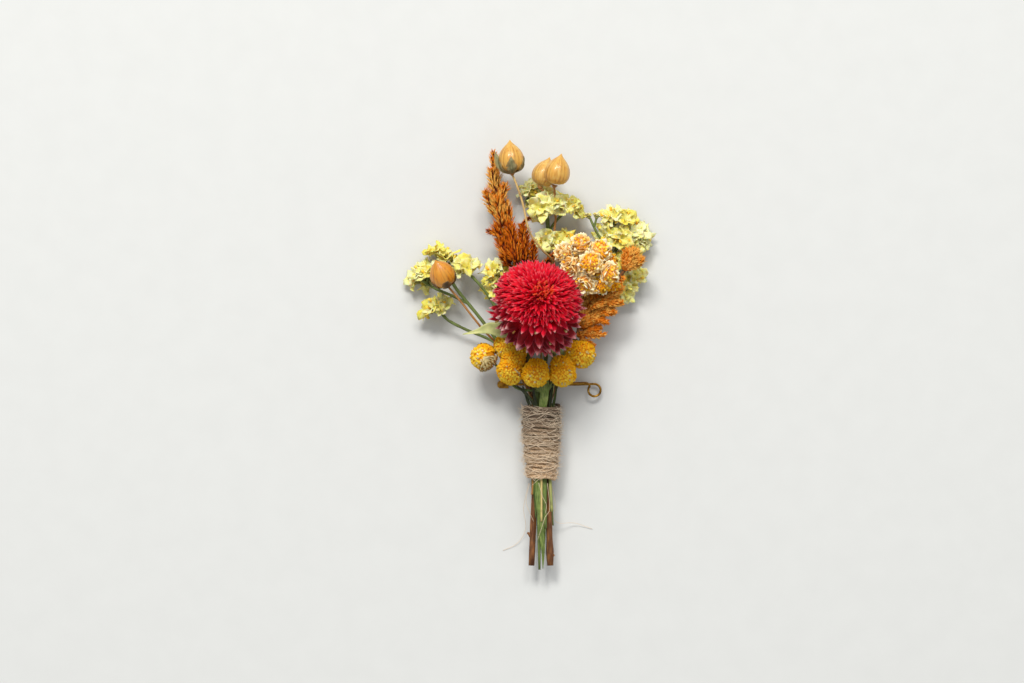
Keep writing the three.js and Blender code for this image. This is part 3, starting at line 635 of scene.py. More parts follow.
# A leaf along rows of a point and the half width there, folded along its middle
def addLeaf(bm, rows, facing, thickness, tone, steps=18, curl=0.0):
    points, halfWidths = [row[:3] for row in rows], [row[3] for row in rows]
    path = smoothPath(points, halfWidths, steps // (len(points) - 1) + 1)
    blade = startMesh()
    last = len(path) - 1
    bmesh.ops.create_grid(blade, x_segments=leaves["columns"], y_segments=last, size=0.5, calc_uvs=True)
    for vert in blade.verts:
        across, row = vert.co.x * 2, round((vert.co.y + 0.5) * last)
        point, half = path[row]
        along = (path[min(last, row + 1)][0] - path[max(0, row - 1)][0]).normalized()
        side = along.cross(Vector(facing)).normalized()
        wave = leaves["wave"] * math.sin(row * 0.9 + across * 2) * abs(across)
        fold = leaves["fold"] * abs(across) ** leaves["cup"] + wave + curl * across
        vert.co = point + side * across * half + side.cross(along) * fold * half
    bmesh.ops.solidify(blade, geom=blade.faces[:], thickness=thickness)
    mesh = keepMesh(blade, "leaf")
    setDown(bm, mesh, Matrix.Identity(4), tone, 0.5)
    bpy.data.meshes.remove(mesh)


def leafFinish():
    look = Look("paleLeaf")
    patch = look.grain(0.5, detail=5)
    tone = look.own("tone") * 0.6 + 0.36 + (patch - 0.5) * 0.5
    # Below tone zero it runs to a near-black green, which the blades above the twine use partly as painted
    # shade
    colour = look.ramp(
        tone,
        (0.0, 36, 38, 16),
        (0.3, 112, 132, 62),
        (0.5, 158, 168, 98),
        (0.8, 208, 208, 138),
        (1.0, 190, 160, 100),
    )
    fine = look.grain(3, (1, 0.12, 1))
    strand = look.between(fine, 0.46, 0.62, 0, 0.6) * look.between(look.own("tone"), 0.1, 0.0)
    streaked = look.mix(colour, paint(58, 74, 36), strand)
    return look.finish(streaked, 0.7, look.bump(fine, 0.14, 0.6))


def buildAmaranthStem(stem, leaf):
    head = (amaranth["centre"], amaranth["axis"])
    points = [
        *bound(1, 120, -64.5, 0.65),
        (-1.3, -9, 7.4), (-2.6, -3, 8.0), (-4.0, 3, 8.5), (-4.3, 6.5, 9.4),
        behind(*head, amaranth["neck"] + 1.4),
        behind(*head, amaranth["neck"] - 0.6),
    ]
    bm = startMesh()
    addTubes(bm, [smoothPath(points, [0.35, 0.8] + [0.85] * (len(points) - 2))], 0.05, 0.5, 2)
    finishPiece("amaranthStalk", bm, [stem], ["amaranth_stem"])
    bm = startMesh()
    addLeaf(bm, leaves["amaranth"]["left"], (0, 0.2, 1), 0.35, 0.62, curl=0.25)
    addLeaf(bm, leaves["amaranth"]["right"], (0, -0.3, 1), 0.35, 0.2)
    for rows, tone in leaves["blades"]:
        addLeaf(bm, rows, (0, 0, 1), 0.3, tone, curl=0.15)
    finishPiece("amaranthLeaves", bm, [leaf])


# Flax capsules, drawn out to a sharp tip, with brown seams between their ribs

capsules = {
    "radius": 4.0,
    "length": 9.6,
    "ribs": 10,
    "valley": 0.03,  # depth between two ribs, as a share of the radius
    "seam": 0.02,  # further depth at every other one
    "uneven": 0.03,
    "outline": (  # shares of the length and of the radius
        (0, 0.05), (0.02, 0.4), (0.06, 0.66), (0.14, 0.86), (0.24, 0.97),
        (0.34, 1.0), (0.45, 0.975), (0.56, 0.89), (0.66, 0.755), (0.75, 0.575),
        (0.82, 0.4), (0.88, 0.235), (0.93, 0.125), (0.97, 0.06), (1, 0.01),
    ),
    "each": {
        "top": {
            "base": (-8.4, 55.0, 10.6), "axis": (-0.07, 1, 0.06), "scale": 1, "sepals": 5, "tone": 0.4,
        },
        "back": {
            "base": (0.2, 50.9, 8.8), "axis": (0.3, 0.93, -0.1), "scale": 0.94, "sepals": 0, "tone": 0.3,
        },
        "front": {
            "base": (4.4, 51.2, 14.0), "axis": (0.21, 0.95, 0.12), "scale": 0.98, "sepals": 0, "tone": 0.42,
        },
        "left": {
            "base": (-28.0, 21.3, 11.2), "axis": (-0.36, 0.76, 0.54), "scale": 0.98, "sepals": 5, "tone": 0.8,
        },
    },
}


def capsuleFinish():
    look = Look("flaxCapsule")
    tone, seam = look.own("tone"), look.own("tint")
    streak = look.grain(1.5, (1, 0.3, 1), 5, 0.4)
    patch = look.grain(0.45, detail=3)
    body = look.ramp(
        tone + (streak - 0.5) * 0.7 + (patch - 0.5) * 0.5,
        (0.0, 221, 190, 116),
        (0.35, 211, 162, 75),
        (0.65, 210, 146, 52),
        (1.0, 214, 130, 26),
    )
    faint = look.between(patch, 0.35, 0.65, 0.25, 0.85)
    seamed = look.mix(body, paint(140, 80, 26), look.between(seam, 0.35, 1.0) * faint)
    mottled = look.mix(seamed, paint(166, 102, 40), look.between(streak, 0.55, 0.7, 0, 0.55))
    return look.finish(mottled, 0.4, look.bump(streak, 0.1, 0.8), Coat_Weight=0.2)


def buildCapsules(finish):
    ribs = capsules["ribs"]
    for name, capsule in capsules["each"].items():
        radius, length = [capsules[key] * capsule["scale"] for key in ("radius", "length")]
        bm = startMesh()
        outline = [bm.verts.new((radius * wide, 0, length * high)) for high, wide in capsules["outline"]]
        edges = [bm.edges.new(pair) for pair in zip(outline, outline[1:])]
        whole = {"cent": (0, 0, 0), "axis": (0, 0, 1), "angle": math.tau, "use_merge": True}
        bmesh.ops.spin(bm, geom=outline + edges, steps=80, **whole)
        bmesh.ops.holes_fill(bm, edges=bm.edges[:])
        bmesh.ops.recalc_face_normals(bm, faces=bm.faces[:])
        tone, seam = [bm.verts.layers.float[layer] for layer in ("tone", "tint")]
        for vert in bm.verts:
            angle = math.atan2(vert.co.y, vert.co.x)
            valley, main = [0.5 - 0.5 * math.cos(count * angle) for count in (ribs, ribs / 2)]
            groove = 1 - capsules["valley"] * valley ** 2 - capsules["seam"] * main ** 6
            lumps = noise.noise(Vector((math.cos(angle), math.sin(angle), vert.co.z * 0.15)))
            vert.co.xy *= groove * (1 + capsules["uneven"] * lumps)
            vert[tone] = capsule["tone"]
            vert[seam] = max(valley ** 5 * 0.8, main ** 12)
        bm.transform(upright(capsule["base"], capsule["axis"]))
        finishPiece(f"flaxCapsule{name.title()}", bm, [finish], [f"flax_capsule_{name}"])


def sepalFinish():
    look = Look("greySepal")
    patch = look.grain(1.6, (1, 0.4, 1), 5, 0.5)
    tone = look.own("tone") + (patch - 0.5) * 1.1
    colour = look.ramp(
        tone,
        (0.0, 150, 146, 104),
        (0.35, 102, 98, 66),
        (0.7, 74, 62, 38),
        (1.0, 92, 58, 30),
    )
    rim = look.mix(colour, paint(160, 122, 70), look.aside() * look.aside() * 0.7)
    return look.finish(rim, 0.75, look.bump(patch, 0.15, 0.9))


flax = {
    "radius": 0.33,
    "short": 0.8,  # how far a stalk ends behind its capsule
    "sepal": {
        "turn": 0.25,
        "gap": 0.22,
        "flare": 0.5,
        "flareFrom": 0.38,
        "drop": 0.6,
        "rootRadius": 0.6,
        "shares": (0, 0.08, 0.2, 0.34),
        "halfWidths": (0.8, 1.5, 1.75, 1.05),
        "tip": 0.08,
        "seat": ((-1.2, 0.36), (-0.25, 1.05)),  # height and radius at both ends, the upper one to scale
    },
    "stalks": {  # with the tone of each, the tone of its sepals and how far these reach
        "top": {
            "capsule": "top", "tone": 0.62, "sepalTone": 0.25, "sepalReach": 0.48,
            "points": [
                *bound(2, 270, -46),
                (0.4, -9, 2.1), (0.4, 0, 2.3), (0.4, 12, 2.8), (1.6, 21, 3.2), (3.9, 27.6, 8.8),
                (0.2, 32, 13.8), (-3.2, 37, 15.4), (-5.1, 45.1, 13.6), (-7.0, 51, 11.6),
            ],
        },
        "pair": {
            "capsule": "front", "tone": 0.78, "sepalTone": 0.85, "sepalReach": 0.3,
            "points": [
                *bound(1, 300, -44),
                (2.6, -9, 4.0), (4.2, 2, 3.3), (5.2, 14, 3.3), (5.0, 23, 4.6), (4.2, 29, 5.8),
                (4.1, 33, 6.3), (4.3, 37, 7.0), (4.7, 41, 7.8), (4.7, 44, 8.7), (4.5, 47.6, 10.8),
            ],
            "fork": [(4.7, 41, 7.8), (4.0, 44.6, 8.3), (2.2, 47.8, 8.6)],  # to the capsule behind
        },
        "left": {
            "capsule": "left", "tone": 0.78, "sepalTone": 0.85, "sepalReach": 0.3,
            "points": [
                *bound(2, 150, -42, 1.1),
                (-4.4, -9, 6.4), (-8.8, -2.5, 6.0), (-12.6, 3, 6.9), (-15.8, 6.3, 9.2), (-18.4, 9.2, 10.4),
                (-24.3, 16.7, 11.0),
            ],
        },
    },
    "freeSepal": (  # beside the top capsule, as rows of a leaf
        (-8.9, 54.6, 10.6, 0.5), (-10.9, 55.6, 11.2, 1.1), (-12.2, 57.2, 11.8, 1.3),
        (-13.0, 59.0, 11.8, 0.8), (-13.5, 61.0, 11.6, 0.08),
    ),
}


# Sepals that hug a capsule up to a share of its length, and the seat of its stalk under it
def addCalyx(bm, capsule, tone, reach):
    form = flax["sepal"]
    scale, turn = capsule["scale"], upright(capsule["base"], capsule["axis"])
    (low, narrow), (high, wide) = form["seat"]
    seat = [(turn @ Vector((0, 0, low)), narrow), (turn @ Vector((0, 0, high)), wide * scale)]
    addTubes(bm, [seat], 0.8, 0.5, 3, 1)
    shares = (*form["shares"], reach)
    halfWidths = (*form["halfWidths"], form["tip"] / scale)
    for i in range(capsule["sepals"]):
        angle = (i + form["turn"]) / capsule["sepals"] * math.tau
        outward = Vector((math.cos(angle), math.sin(angle), 0))
        rows = []
        for share, half in zip(shares, halfWidths):
            clear = capsules["radius"] * follow(capsules["outline"], share) + form["gap"]
            clear += form["flare"] * max(0, share - form["flareFrom"])
            lift = share * capsules["length"] - form["drop"] * max(0, 1 - share * 3)
            place = outward * (clear if share else form["rootRadius"]) + Vector((0, 0, lift))
            rows.append((*(turn @ (place * scale)), half * scale))
        addLeaf(bm, rows, turn.to_3x3() @ -outward, 0.2, tone, 12)


def buildFlaxStalks(stem, sepal):
    radius, each = flax["radius"], capsules["each"]
    foot = {name: behind(item["base"], item["axis"], flax["short"]) for name, item in each.items()}
    for name, stalk in flax["stalks"].items():
        bm = startMesh()
        runs = [stalk["points"] + [foot[stalk["capsule"]]]]
        if "fork" in stalk:
            runs.append(stalk["fork"] + [foot["back"]])
        addTubes(bm, [smoothPath(run, radius) for run in runs], stalk["tone"], 0.5, 1, 1)
        addCalyx(bm, each[stalk["capsule"]], stalk["sepalTone"], stalk["sepalReach"])
        if "fork" in stalk:
            addCalyx(bm, each["back"], 0.8, stalk["sepalReach"])
        if name == "top":
            addLeaf(bm, flax["freeSepal"], (0.3, 0.2, 1), 0.25, 0.1, 12, 0.2)
        finishPiece(f"flaxStalk{name.title()}", bm, [sepal, stem], [f"flax_stalk_{name}"])
    bm = startMesh()
    addTubes(bm, [smoothPath([*bound(2, 90, -50, 1), (0.45, -13.2, 8.2)], radius)], 0.5, 0.6)
    finishPiece("strawPiece", bm, [stem], ["straw_stem"])


# Golden buttons: domes of fine florets, with straw husks below

button = {
    "radius": 4.0,
    "depth": 3.1,
    "foot": 4.1075,
    "florets": 300,
    "dome": {  # how the florets of a dome stand
        "lowest": -0.35,
        "jitter": 0.1,
        "bare": 0.5,  # how near the bare side there are none, as a cosine
        "lump": 0.12,
        "heights": (-0.04, 0.05),
        "lengths": (1.2, 1.7),
        "widths": (0.75, 1.1),
        "closed": 0.75,  # the width that a closed floret keeps
        "tints": (0.15, 0.6),
        "openTint": 0.4,
        "pale": 0.08,  # share of the open florets
    },
    "husks": {  # husks under a button, from its foot outwards
        "count": 60,
        "roots": (0.9, 2.4),
        "heights": (-3.5, -2.1),
        "lean": 1.15,
        "width": 0.95,
        "lengths": (2.1, 2.5),
    },
    "strawSide": {  # husks that the button without a smaller dome shows at one side
        "towards": (0.6, -0.6, 0.52),
        "count": 110,
        "middle": (0.65, -0.76, 0),
        "turn": 0.95,
        "rise": (-0.3, 1.25),
        "depth": 3.41,
        "reach": 1.06,
        "size": (0.6, 2.6, 1.2),
    },
    "places": (  # place, the way it faces, the middle of its stalk, and a smaller dome that runs into it
        ((-17.0, -0.5, 10.2), (-0.55, 0.3, 0.78), (-7.2, -9.8, 7.4), None),
        ((-9.9, 2.7, 9.8), (-0.2, 0.2, 0.96), (-6.0, -5.0, 8.2), ((-7.8, 1.0, 9.9), 3.7)),
        ((-8.9, -4.9, 11.6), (-0.15, -0.4, 0.9), (-4.4, -7.6, 8.2), ((-8.2, -2.0, 10.9), 3.8)),
        ((-1.3, -5.8, 14.2), (0, -0.45, 0.9), (0, -8.2, 10.2), ((-1.1, -4.2, 13.4), 3.5)),
        ((6.8, -5.6, 12.4), (0.12, -0.45, 0.88), (3.4, -8.4, 9.0), ((6.6, -3.4, 11.8), 3.7)),
        ((12.7, 0.1, 11.0), (0.4, -0.25, 0.88), (7.4, -5.0, 7.9), ((10.6, 1.0, 10.3), 3.5)),
    ),
}


# A small tube with an open, five-pointed mouth, one millimetre long
def tinyFloret(name, foot, mouth):
    bm = startMesh()
    made = bmesh.ops.create_cone(bm, segments=10, radius1=foot, radius2=mouth, depth=1, cap_ends=True)
    bmesh.ops.translate(bm, verts=made["verts"], vec=(0, 0, 0.5))
    top = max(bm.faces, key=lambda face: face.calc_center_median().z)
    for vert in list(top.verts)[::2]:
        vert.co = Vector((vert.co.x * 0.55, vert.co.y * 0.55, 0.86))
    bmesh.ops.inset_region(bm, faces=[top], thickness=mouth * 0.2)
    bmesh.ops.translate(bm, verts=top.verts[:], vec=(0, 0, -0.06))
    setAlong(bm, lambda vert: vert.co.z)
    bm.transform(Matrix.Rotation(-math.pi / 2, 4, "X"))
    return keepMesh(bm, name)


def goldFinish(name, low, high, bright):
    look = Look(name)
    along, tint = look.along(), look.own("tint")
    patch = look.grain(0.5)
    tip = look.mix(high, bright, look.between(tint + (patch - 0.5) * 0.8, 0.35, 0.9))
    aged = look.mix(tip, paint(128, 74, 16), look.between(tint, 0.1, 0.03, 0, 0.8))
    body = look.mix(low, aged, look.between(along, 0.3, 0.7))
    colour = look.mix(paint(224, 148, 32), body, look.between(along, 0.0, 0.35))
    rough = look.grain(4, detail=3)
    return look.finish(colour, 0.85, look.bump(rough, 0.06, 0.5), Specular_IOR_Level=0.2)


def huskShape(across, along):
    width = 0.5 * (1 - along ** 2.5) + 0.02
    return Vector((across * width, along, -0.2 * along * along))


def addBall(bm, place, tint):  # the filled middle of a flower
    ball = startMesh()
    bmesh.ops.create_icosphere(ball, subdivisions=2, radius=1)
    mesh = keepMesh(ball, "middle")
    setDown(bm, mesh, place, 0, tint)
    bpy.data.meshes.remove(mesh)


# A dome of florets round its filled middle. They stand open on the front alone.
def addDome(bm, floret, place, facing, radius, count, rng, bare=None):
    lay = button["dome"]
    place, stand = Vector(place), standing(facing)
    depth = button["depth"] * radius / button["radius"]
    inner = Matrix.Diagonal((radius - 0.35, radius - 0.35, depth - 0.15, 1))
    addBall(bm, upright(place - stand @ Vector((0, 0, 0.2)), facing) @ inner, 0.5)
    front = (Vector(facing) + Vector((0, -0.35, 0))).normalized()
    seed = scatter(rng, 20)
    for flat in spiral(count, lay["lowest"]):
        flat = (flat + scatter(rng, lay["jitter"])).normalized()
        if bare and (stand @ flat).dot(bare) > lay["bare"]:
            continue
        openness = smoothStep((stand @ flat).dot(front), 0.35, 0.8)
        lump = 1.04 + lay["lump"] * noise.noise(flat * 2.2 + seed) + rng.uniform(*lay["heights"])
        swell = Vector((flat.x * radius, flat.y * radius, flat.z * depth)) * lump
        length = rng.uniform(*lay["lengths"])
        normal = (flat + Vector((0, 0, 0.25)) + scatter(rng, 0.24)).normalized()
        root = place + stand @ (swell - normal * length)
        wide = rng.uniform(*lay["widths"]) * mix(lay["closed"], 1, openness)
        tint = rng.uniform(*lay["tints"]) + lay["openTint"] * openness
        pale = rng.random() < lay["pale"] * openness
        turned = towards(root, stand @ normal, scatter(rng, 1), (wide, length, wide))
        setDown(bm, floret, turned, 0, tint, pale)


def addHusks(bm, husk, place, stand, rng):
    lay = button["husks"]
    for i in range(lay["count"]):
        turn, row = i * goldenAngle, i / lay["count"]
        flat = Vector((math.cos(turn), math.sin(turn), 0))
        root = flat * mix(*lay["roots"], row) + Vector((0, 0, mix(*lay["heights"], row)))
        rise = stand @ (flat * lay["lean"] + Vector((0, 0, 1)) + scatter(rng, 0.15))
        size = (lay["width"], mix(*lay["lengths"], row), 1)
        turned = towards(place + stand @ root, rise, stand @ flat, size)
        setDown(bm, husk, turned, 0, rng.uniform(0.2, 1), 1)


def addStrawSide(bm, husk, place, stand, rng):
    lay = button["strawSide"]
    radius, depth = button["radius"], lay["depth"]
    for _ in range(lay["count"]):
        turn = Matrix.Rotation(rng.uniform(-lay["turn"], lay["turn"]), 3, "Z")
        high = rng.uniform(*lay["rise"])
        level = turn @ Vector(lay["middle"])
        outward = level * math.cos(high) + Vector((0, 0, math.sin(high)))
        along = Vector((0, 0, math.cos(high))) - level * math.sin(high)
        flat = stand.inverted() @ outward
        reach = lay["reach"] / math.hypot(flat.x / radius, flat.y / radius, flat.z / depth)
        root = place + outward * reach - along * 0.9
        turned = towards(root, along + outward * 0.22, outward, lay["size"])
        setDown(bm, husk, turned, 0, rng.uniform(0.3, 1), 1)


def buildButtons(gold, straw):
    floret = tinyFloret("buttonFloret", 0.2, 0.4)
    husk = petal("huskBract", 2, 3, 0.03, huskShape)
    radius, florets = button["radius"], button["florets"]
    for number, (place, facing, _, swell) in enumerate(button["places"], 1):
        rng = random.Random(number)
        stand = standing(facing)
        bm = startMesh()
        bare = None if swell else Vector(button["strawSide"]["towards"])
        addDome(bm, floret, place, facing, radius, florets, rng, bare)
        if swell:
            middle, size = swell
            addDome(bm, floret, middle, facing, size, int(florets * (size / radius) ** 2), rng)
        addHusks(bm, husk, Vector(place), stand, rng)
        if not swell:
            addStrawSide(bm, husk, Vector(place), stand, rng)
        finishPiece(f"goldenButton{number}", bm, [gold, straw], [f"golden_button_{number}"])


def buildButtonStalks(stem):
    fork = (1.3, -11.6, 8.6)
    trunk = smoothPath([*bound(1, 60, -52, 1), (1.45, -12.8, 7.4), fork], 0.72)
    branches = []
    for place, facing, middle, _ in button["places"]:
        start = [fork, (0, -10.8, 9.4)] if place[0] < 0 else [fork]
        ends = [behind(place, facing, button["foot"] + past) for past in (1.2, -0.6)]
        branches.append(smoothPath([*start, middle, *ends], 0.4))
    bm = startMesh()
    addTubes(bm, branches[:1], 0, 0, uneven=0.3)
    addTubes(bm, [trunk] + branches[1:], 0.12, 0.4, uneven=0.2)
    finishPiece("goldenButtonStalks", bm, [stem], ["golden_button_stalks"])


# Peach everlastings: heads of papery scales round golden florets, and the fill between the heads

everlasting = {
    "middle": (14.2, 26.6, 8),  # what the heads face away from
    "heads": (  # place, size, and the share of golden florets among the scales
        ((7.6, 30.5, 13.6), 0.96, 0.12),
        ((12.2, 33.0, 15.0), 1.02, 0.3),
        ((18.0, 31.1, 15.2), 1.06, 0.5),
        ((15.1, 27.5, 17.8), 1.1, 0.6),
        ((9.5, 26.3, 15.4), 1.06, 0.15),
        ((20.3, 24.4, 15.6), 1.04, 0.5),
        ((13.5, 21.5, 15.4), 1.02, 0.28),
        ((18.2, 21.2, 14.2), 0.86, 0.75),
    ),
    "cushions": (  # cushions between the heads: place and radius
        ((9.6, 28.8, 11.8), 3.4),
        ((14.6, 31.0, 12.6), 3.6),
        ((12.6, 24.6, 12.8), 3.6),
        ((17.8, 27.6, 13.4), 3.8),
        ((16.8, 22.6, 12.2), 3.6),
        ((12.6, 29.4, 13.6), 3.2),
        ((20.4, 28.2, 12.4), 3.0),
        ((21.6, 21.4, 12.0), 2.4),
    ),
    "kinds": {
        "cushion": {"radius": 0.86, "parts": 80, "lowest": 0, "broad": 1},
        "head": {"radius": 3.0, "parts": 105, "lowest": -0.8, "broad": 1.35},
    },
    "parts": {
        "middle": 0.78,  # radius of the filled middle, as a share
        "jitter": 0.12,
        "roots": (0.56, 0.68),
        "golden": (0.5, 1.6),  # how the golden share grows from the sides to the top
        "floretWidths": (0.75, 1.2),
        "floretLengths": (1.1, 1.7),
        "scaleWidths": (0.8, 1.4),
        "scaleLengths": (1.2, 1.75),
    },
    "stalk": [
        *bound(2, 30, -47),
        (3.9, -9, 7.2), (4.4, 2, 7.9), (5.2, 10, 7.8), (6.8, 16, 8.2),
        (9.6, 21, 8.8), (12.6, 24.5, 9.6), (13.8, 26.2, 11.0),
    ],
}


def peachFinish():
    look = Look("peachScale")
    along, tint = look.along(), look.own("tint")
    body = look.ramp(
        tint,
        (0.0, 255, 248, 216),
        (0.35, 255, 238, 192),
        (0.65, 255, 228, 166),
        (1.0, 255, 208, 112),
    )
    deep = look.mix(paint(244, 180, 98), body, look.between(along, 0.0, 0.4))
    fine = look.grain(3.2)
    return look.finish(deep, 0.75, look.bump(fine, 0.08, 0.6), Specular_IOR_Level=0.2)


def everlastingShape(across, along):
    width = 0.5 * (0.6 + 0.8 * along) * (1 - along ** 5) + 0.03
    return Vector((across * width, along, 0.3 * across * across * width + 0.35 * along * along))


def buildEverlastings(peach, gold, stem):
    lay, middle = everlasting["parts"], Vector(everlasting["middle"])
    floret = tinyFloret("everlastingFloret", 0.16, 0.42)
    scale = petal("everlastingScale", 2, 3, 0.05, everlastingShape)
    rng = random.Random(21)
    bm = startMesh()

    def cover(kind, place, stand, size, golden, deep):
        radius = kind["radius"] * size
        addBall(bm, Matrix.Translation(place) @ Matrix.Scale(radius * lay["middle"], 4), 1)
        for flat in spiral(kind["parts"], kind["lowest"]):
            normal = stand @ (flat + scatter(rng, lay["jitter"])).normalized()
            root = place + normal * radius * rng.uniform(*lay["roots"])
            if rng.random() < golden * mix(*lay["golden"], smoothStep(flat.z, 0.3, 0.8)):
                wide = rng.uniform(*lay["floretWidths"])
                length = rng.uniform(*lay["floretLengths"])
                rise = normal + scatter(rng, 0.35)
                turned = towards(root, rise, scatter(rng, 1), (wide, length, wide))
                setDown(bm, floret, turned, 0, mix(rng.random(), 0.1, deep * rng.random()), 1)
            else:
                rise = normal + stand @ Vector((0, 0, 0.5)) + scatter(rng, 0.2)
                wide = rng.uniform(*lay["scaleWidths"]) * kind["broad"]
                length = rng.uniform(*lay["scaleLengths"]) * kind["broad"]
                tint = min(1, rng.random() ** 1.8 + deep * rng.random())
                turned = towards(root, rise, scatter(rng, 0.2) - normal, (wide, length, 1.2))
                setDown(bm, scale, turned, 0, tint)

    cushion, head = [everlasting["kinds"][name] for name in ("cushion", "head")]
    for place, radius in everlasting["cushions"]:
        cover(cushion, Vector(place) - Vector((0, 0, 0.6)), Matrix.Identity(3), radius, 0.9, 1)
    for place, size, golden in everlasting["heads"]:
        stand = standing(Vector(place) - middle + Vector((0, 0, 5))).to_matrix()
        cover(head, Vector(place), stand, size, golden, 0.3 * golden)
    looseFloret = towards((9.8, 32.4, 13.4), (-0.1, 1, -0.2), (0, 0, 1), (1.7, 4.2, 1))
    setDown(bm, floret, looseFloret, 0, 0.5, 1)
    finishPiece("everlastingHeads", bm, [peach, gold], ["everlasting_heads"])
    bm = startMesh()
    runs = [smoothPath(everlasting["stalk"], 0.5)]
    for place, *_ in everlasting["heads"]:
        inner = Vector(place).lerp(middle, 0.35)
        runs.append(smoothPath([(13.8, 26.2, 10.4), inner, place], 0.3, 4))
    addTubes(bm, runs, 0.3, 0.5)
    finishPiece("everlastingStalk", bm, [stem], ["everlasting_stem"])


# Rust plumes: lobes of short bristly blades, all sweeping towards the tip

plume = {
    "kinds": {
        "Left": {
            "lobes": (  # foot, tip and radius
                ((-12.9, 52.6, 6.8), (-14.1, 61.2, 6.0), 1.6),
                ((-12.8, 46.5, 7.6), (-14.2, 56.0, 7.2), 2.8),
                ((-12.2, 45.0, 9.4), (-10.3, 51.4, 8.8), 1.8),
                ((-13.2, 41.5, 8.2), (-16.3, 49.4, 7.6), 2.1),
                ((-11.2, 38.5, 10.2), (-13.0, 47.6, 9.8), 2.8),
                ((-9.2, 38.0, 8.6), (-10.4, 46.2, 8.6), 2.1),
                ((-9.2, 27.6, 9.2), (-12.9, 39.4, 8.8), 3.1),
                ((-6.8, 27.0, 11.0), (-9.4, 39.6, 10.6), 3.0),
                ((-4.6, 27.4, 9.2), (-5.2, 39.4, 9.2), 2.6),
                ((-2.2, 26.4, 8.8), (-1.8, 34.4, 8.6), 1.7),
                ((-7.6, 25.6, 8.6), (-11.8, 29.4, 8.2), 1.3),
                ((-12.6, 36.2, 8.0), (-15.8, 37.2, 7.6), 1.0),
                ((-5.4, 39.6, 9.4), (-2.4, 41.6, 9.4), 0.8),
                ((0.2, 25.6, 9.0), (4.0, 30.4, 8.6), 1.2),
            ),
            "tuft": {"count": 8, "width": 0.15, "spread": 0.2},
            "seeds": range(4),
            "density": 0.85,
            "longest": 3.1,
            "lightRise": (-0.75, 0.9),  # tone from the lobes at its foot to those at its tip
            "lightRange": (-0.15, 0.15),
        },
        "Right": {
            "lobes": (
                ((11.2, 9.2, 9.4), (17.2, 17.8, 10.0), 2.7),
                ((12.6, 8.4, 9.0), (21.8, 18.2, 9.8), 2.8),
                ((13.2, 8.4, 8.0), (23.4, 16.6, 9.0), 2.5),
                ((11.8, 12.6, 9.0), (14.8, 19.6, 9.6), 2.3),
                ((18.0, 15.6, 10.4), (24.6, 20.4, 10.6), 2.0),
                ((11.6, 8.0, 7.6), (19.0, 11.8, 8.2), 2.0),
                ((21.8, 19.4, 9.8), (25.0, 23.2, 10.0), 1.0),
                ((18.0, 12.6, 10.2), (22.6, 12.8, 10.6), 1.2),
                ((15.8, 10.8, 10.0), (20.2, 9.9, 10.4), 1.1),
                ((20.0, 15.4, 11.2), (24.6, 15.8, 11.2), 1.3),
                ((15.0, 14.0, 12.0), (19.6, 16.4, 12.0), 1.3),
                ((11.0, 5.8, 8.2), (18.4, 8.4, 9.0), 1.4),
                ((12.0, 5.4, 8.4), (16.2, 2.8, 8.6), 1.0),
                ((13.6, 5.9, 8.8), (19.4, 6.2, 9.2), 1.2),
                ((25.0, 25.6, 10.4), (28.8, 31.6, 11.4), 2.6),
                ((26.0, 26.0, 10.6), (30.6, 28.8, 11.2), 2.2),
                ((25.4, 26.6, 10.8), (26.4, 31.6, 11.6), 1.8),
            ),
            "tuft": {"count": 7, "width": 0.24, "spread": 0.5},
            "seeds": range(9, 13),
            "density": 1.15,
            "longest": 2.3,
            "lightRise": (0, 0),
            "lightRange": (0.8, 1.5),
        },
    },
    "lobe": {
        "outline": ((0, 0.7), (0.3, 1), (0.6, 0.95), (0.85, 0.6), (1, 0.25)),
        "core": 0.45,
        "roots": 0.3,
        "covered": 0.96,
        "turn": 0.4,
        "lifts": (0.35, 0.85),
        "reach": (1.5, 3.4),
        "uneven": (0.75, 1.1),
        "paleFrom": 2.4,  # the length from which a tuft is paler
    },
    "twigs": (  # points and radius of the wood inside the right plume
        (((11.4, 6.2, 8), (11.8, 9.6, 8.4), (12.0, 11.6, 9), (15.4, 14.8, 9.6), (19.6, 17.6, 9.8)), 0.6),
        (((19.6, 17.6, 9.8), (22.8, 21.4, 9.6), (24.6, 24.4, 10), (26.4, 26.8, 10.8)), 0.5),
    ),
    "stalks": {  # each with a knot, as points and radii
        "Left": {
            "points": [
                *bound(1, 180, -63.3, 1.6),
                (-3.0, -8, 5.6), (-4.0, 2, 5.9), (-4.0, 10, 6.0),
                (-2.6, 17, 6.4), (-1.5, 21.4, 7.6), (-2.2, 24.6, 8.9),
            ],
            "radius": 0.95,
            "knot": (((-2.6, -54.4, 5.2), (-3.2, -53.8, 5.3), (-3.8, -53.4, 5.4)), (0.7, 0.5, 0.3)),
        },
        "Right": {
            "points": [*bound(1, 0, -63.3, 1.42), (5.0, -8, 5.4), (8.6, 1, 5.8), (10.6, 5.0, 6.4)],
            "radius": 1.02,
            "knot": (((3.2, -61.4, 5.2), (3.6, -60.6, 5.3), (4.3, -60.0, 5.4)), (0.9, 0.75, 0.35)),
        },
    },
}


def plumeFinish(name, root):
    look = Look(name)
    along, tint, tone = look.along(), look.own("tint"), look.own("tone")
    patch = look.grain(0.35, detail=3)
    tip = look.ramp(
        tint * 0.7 + tone * 0.4 + (patch - 0.5) * 0.6,
        (0.0, 191, 88, 8),
        (0.45, 238, 136, 23),
        (1.0, 246, 192, 94),
    )
    colour = look.mix(root, tip, look.between(along, 0.1, 0.55))
    return look.finish(colour, 0.75, Specular_IOR_Level=0.2)


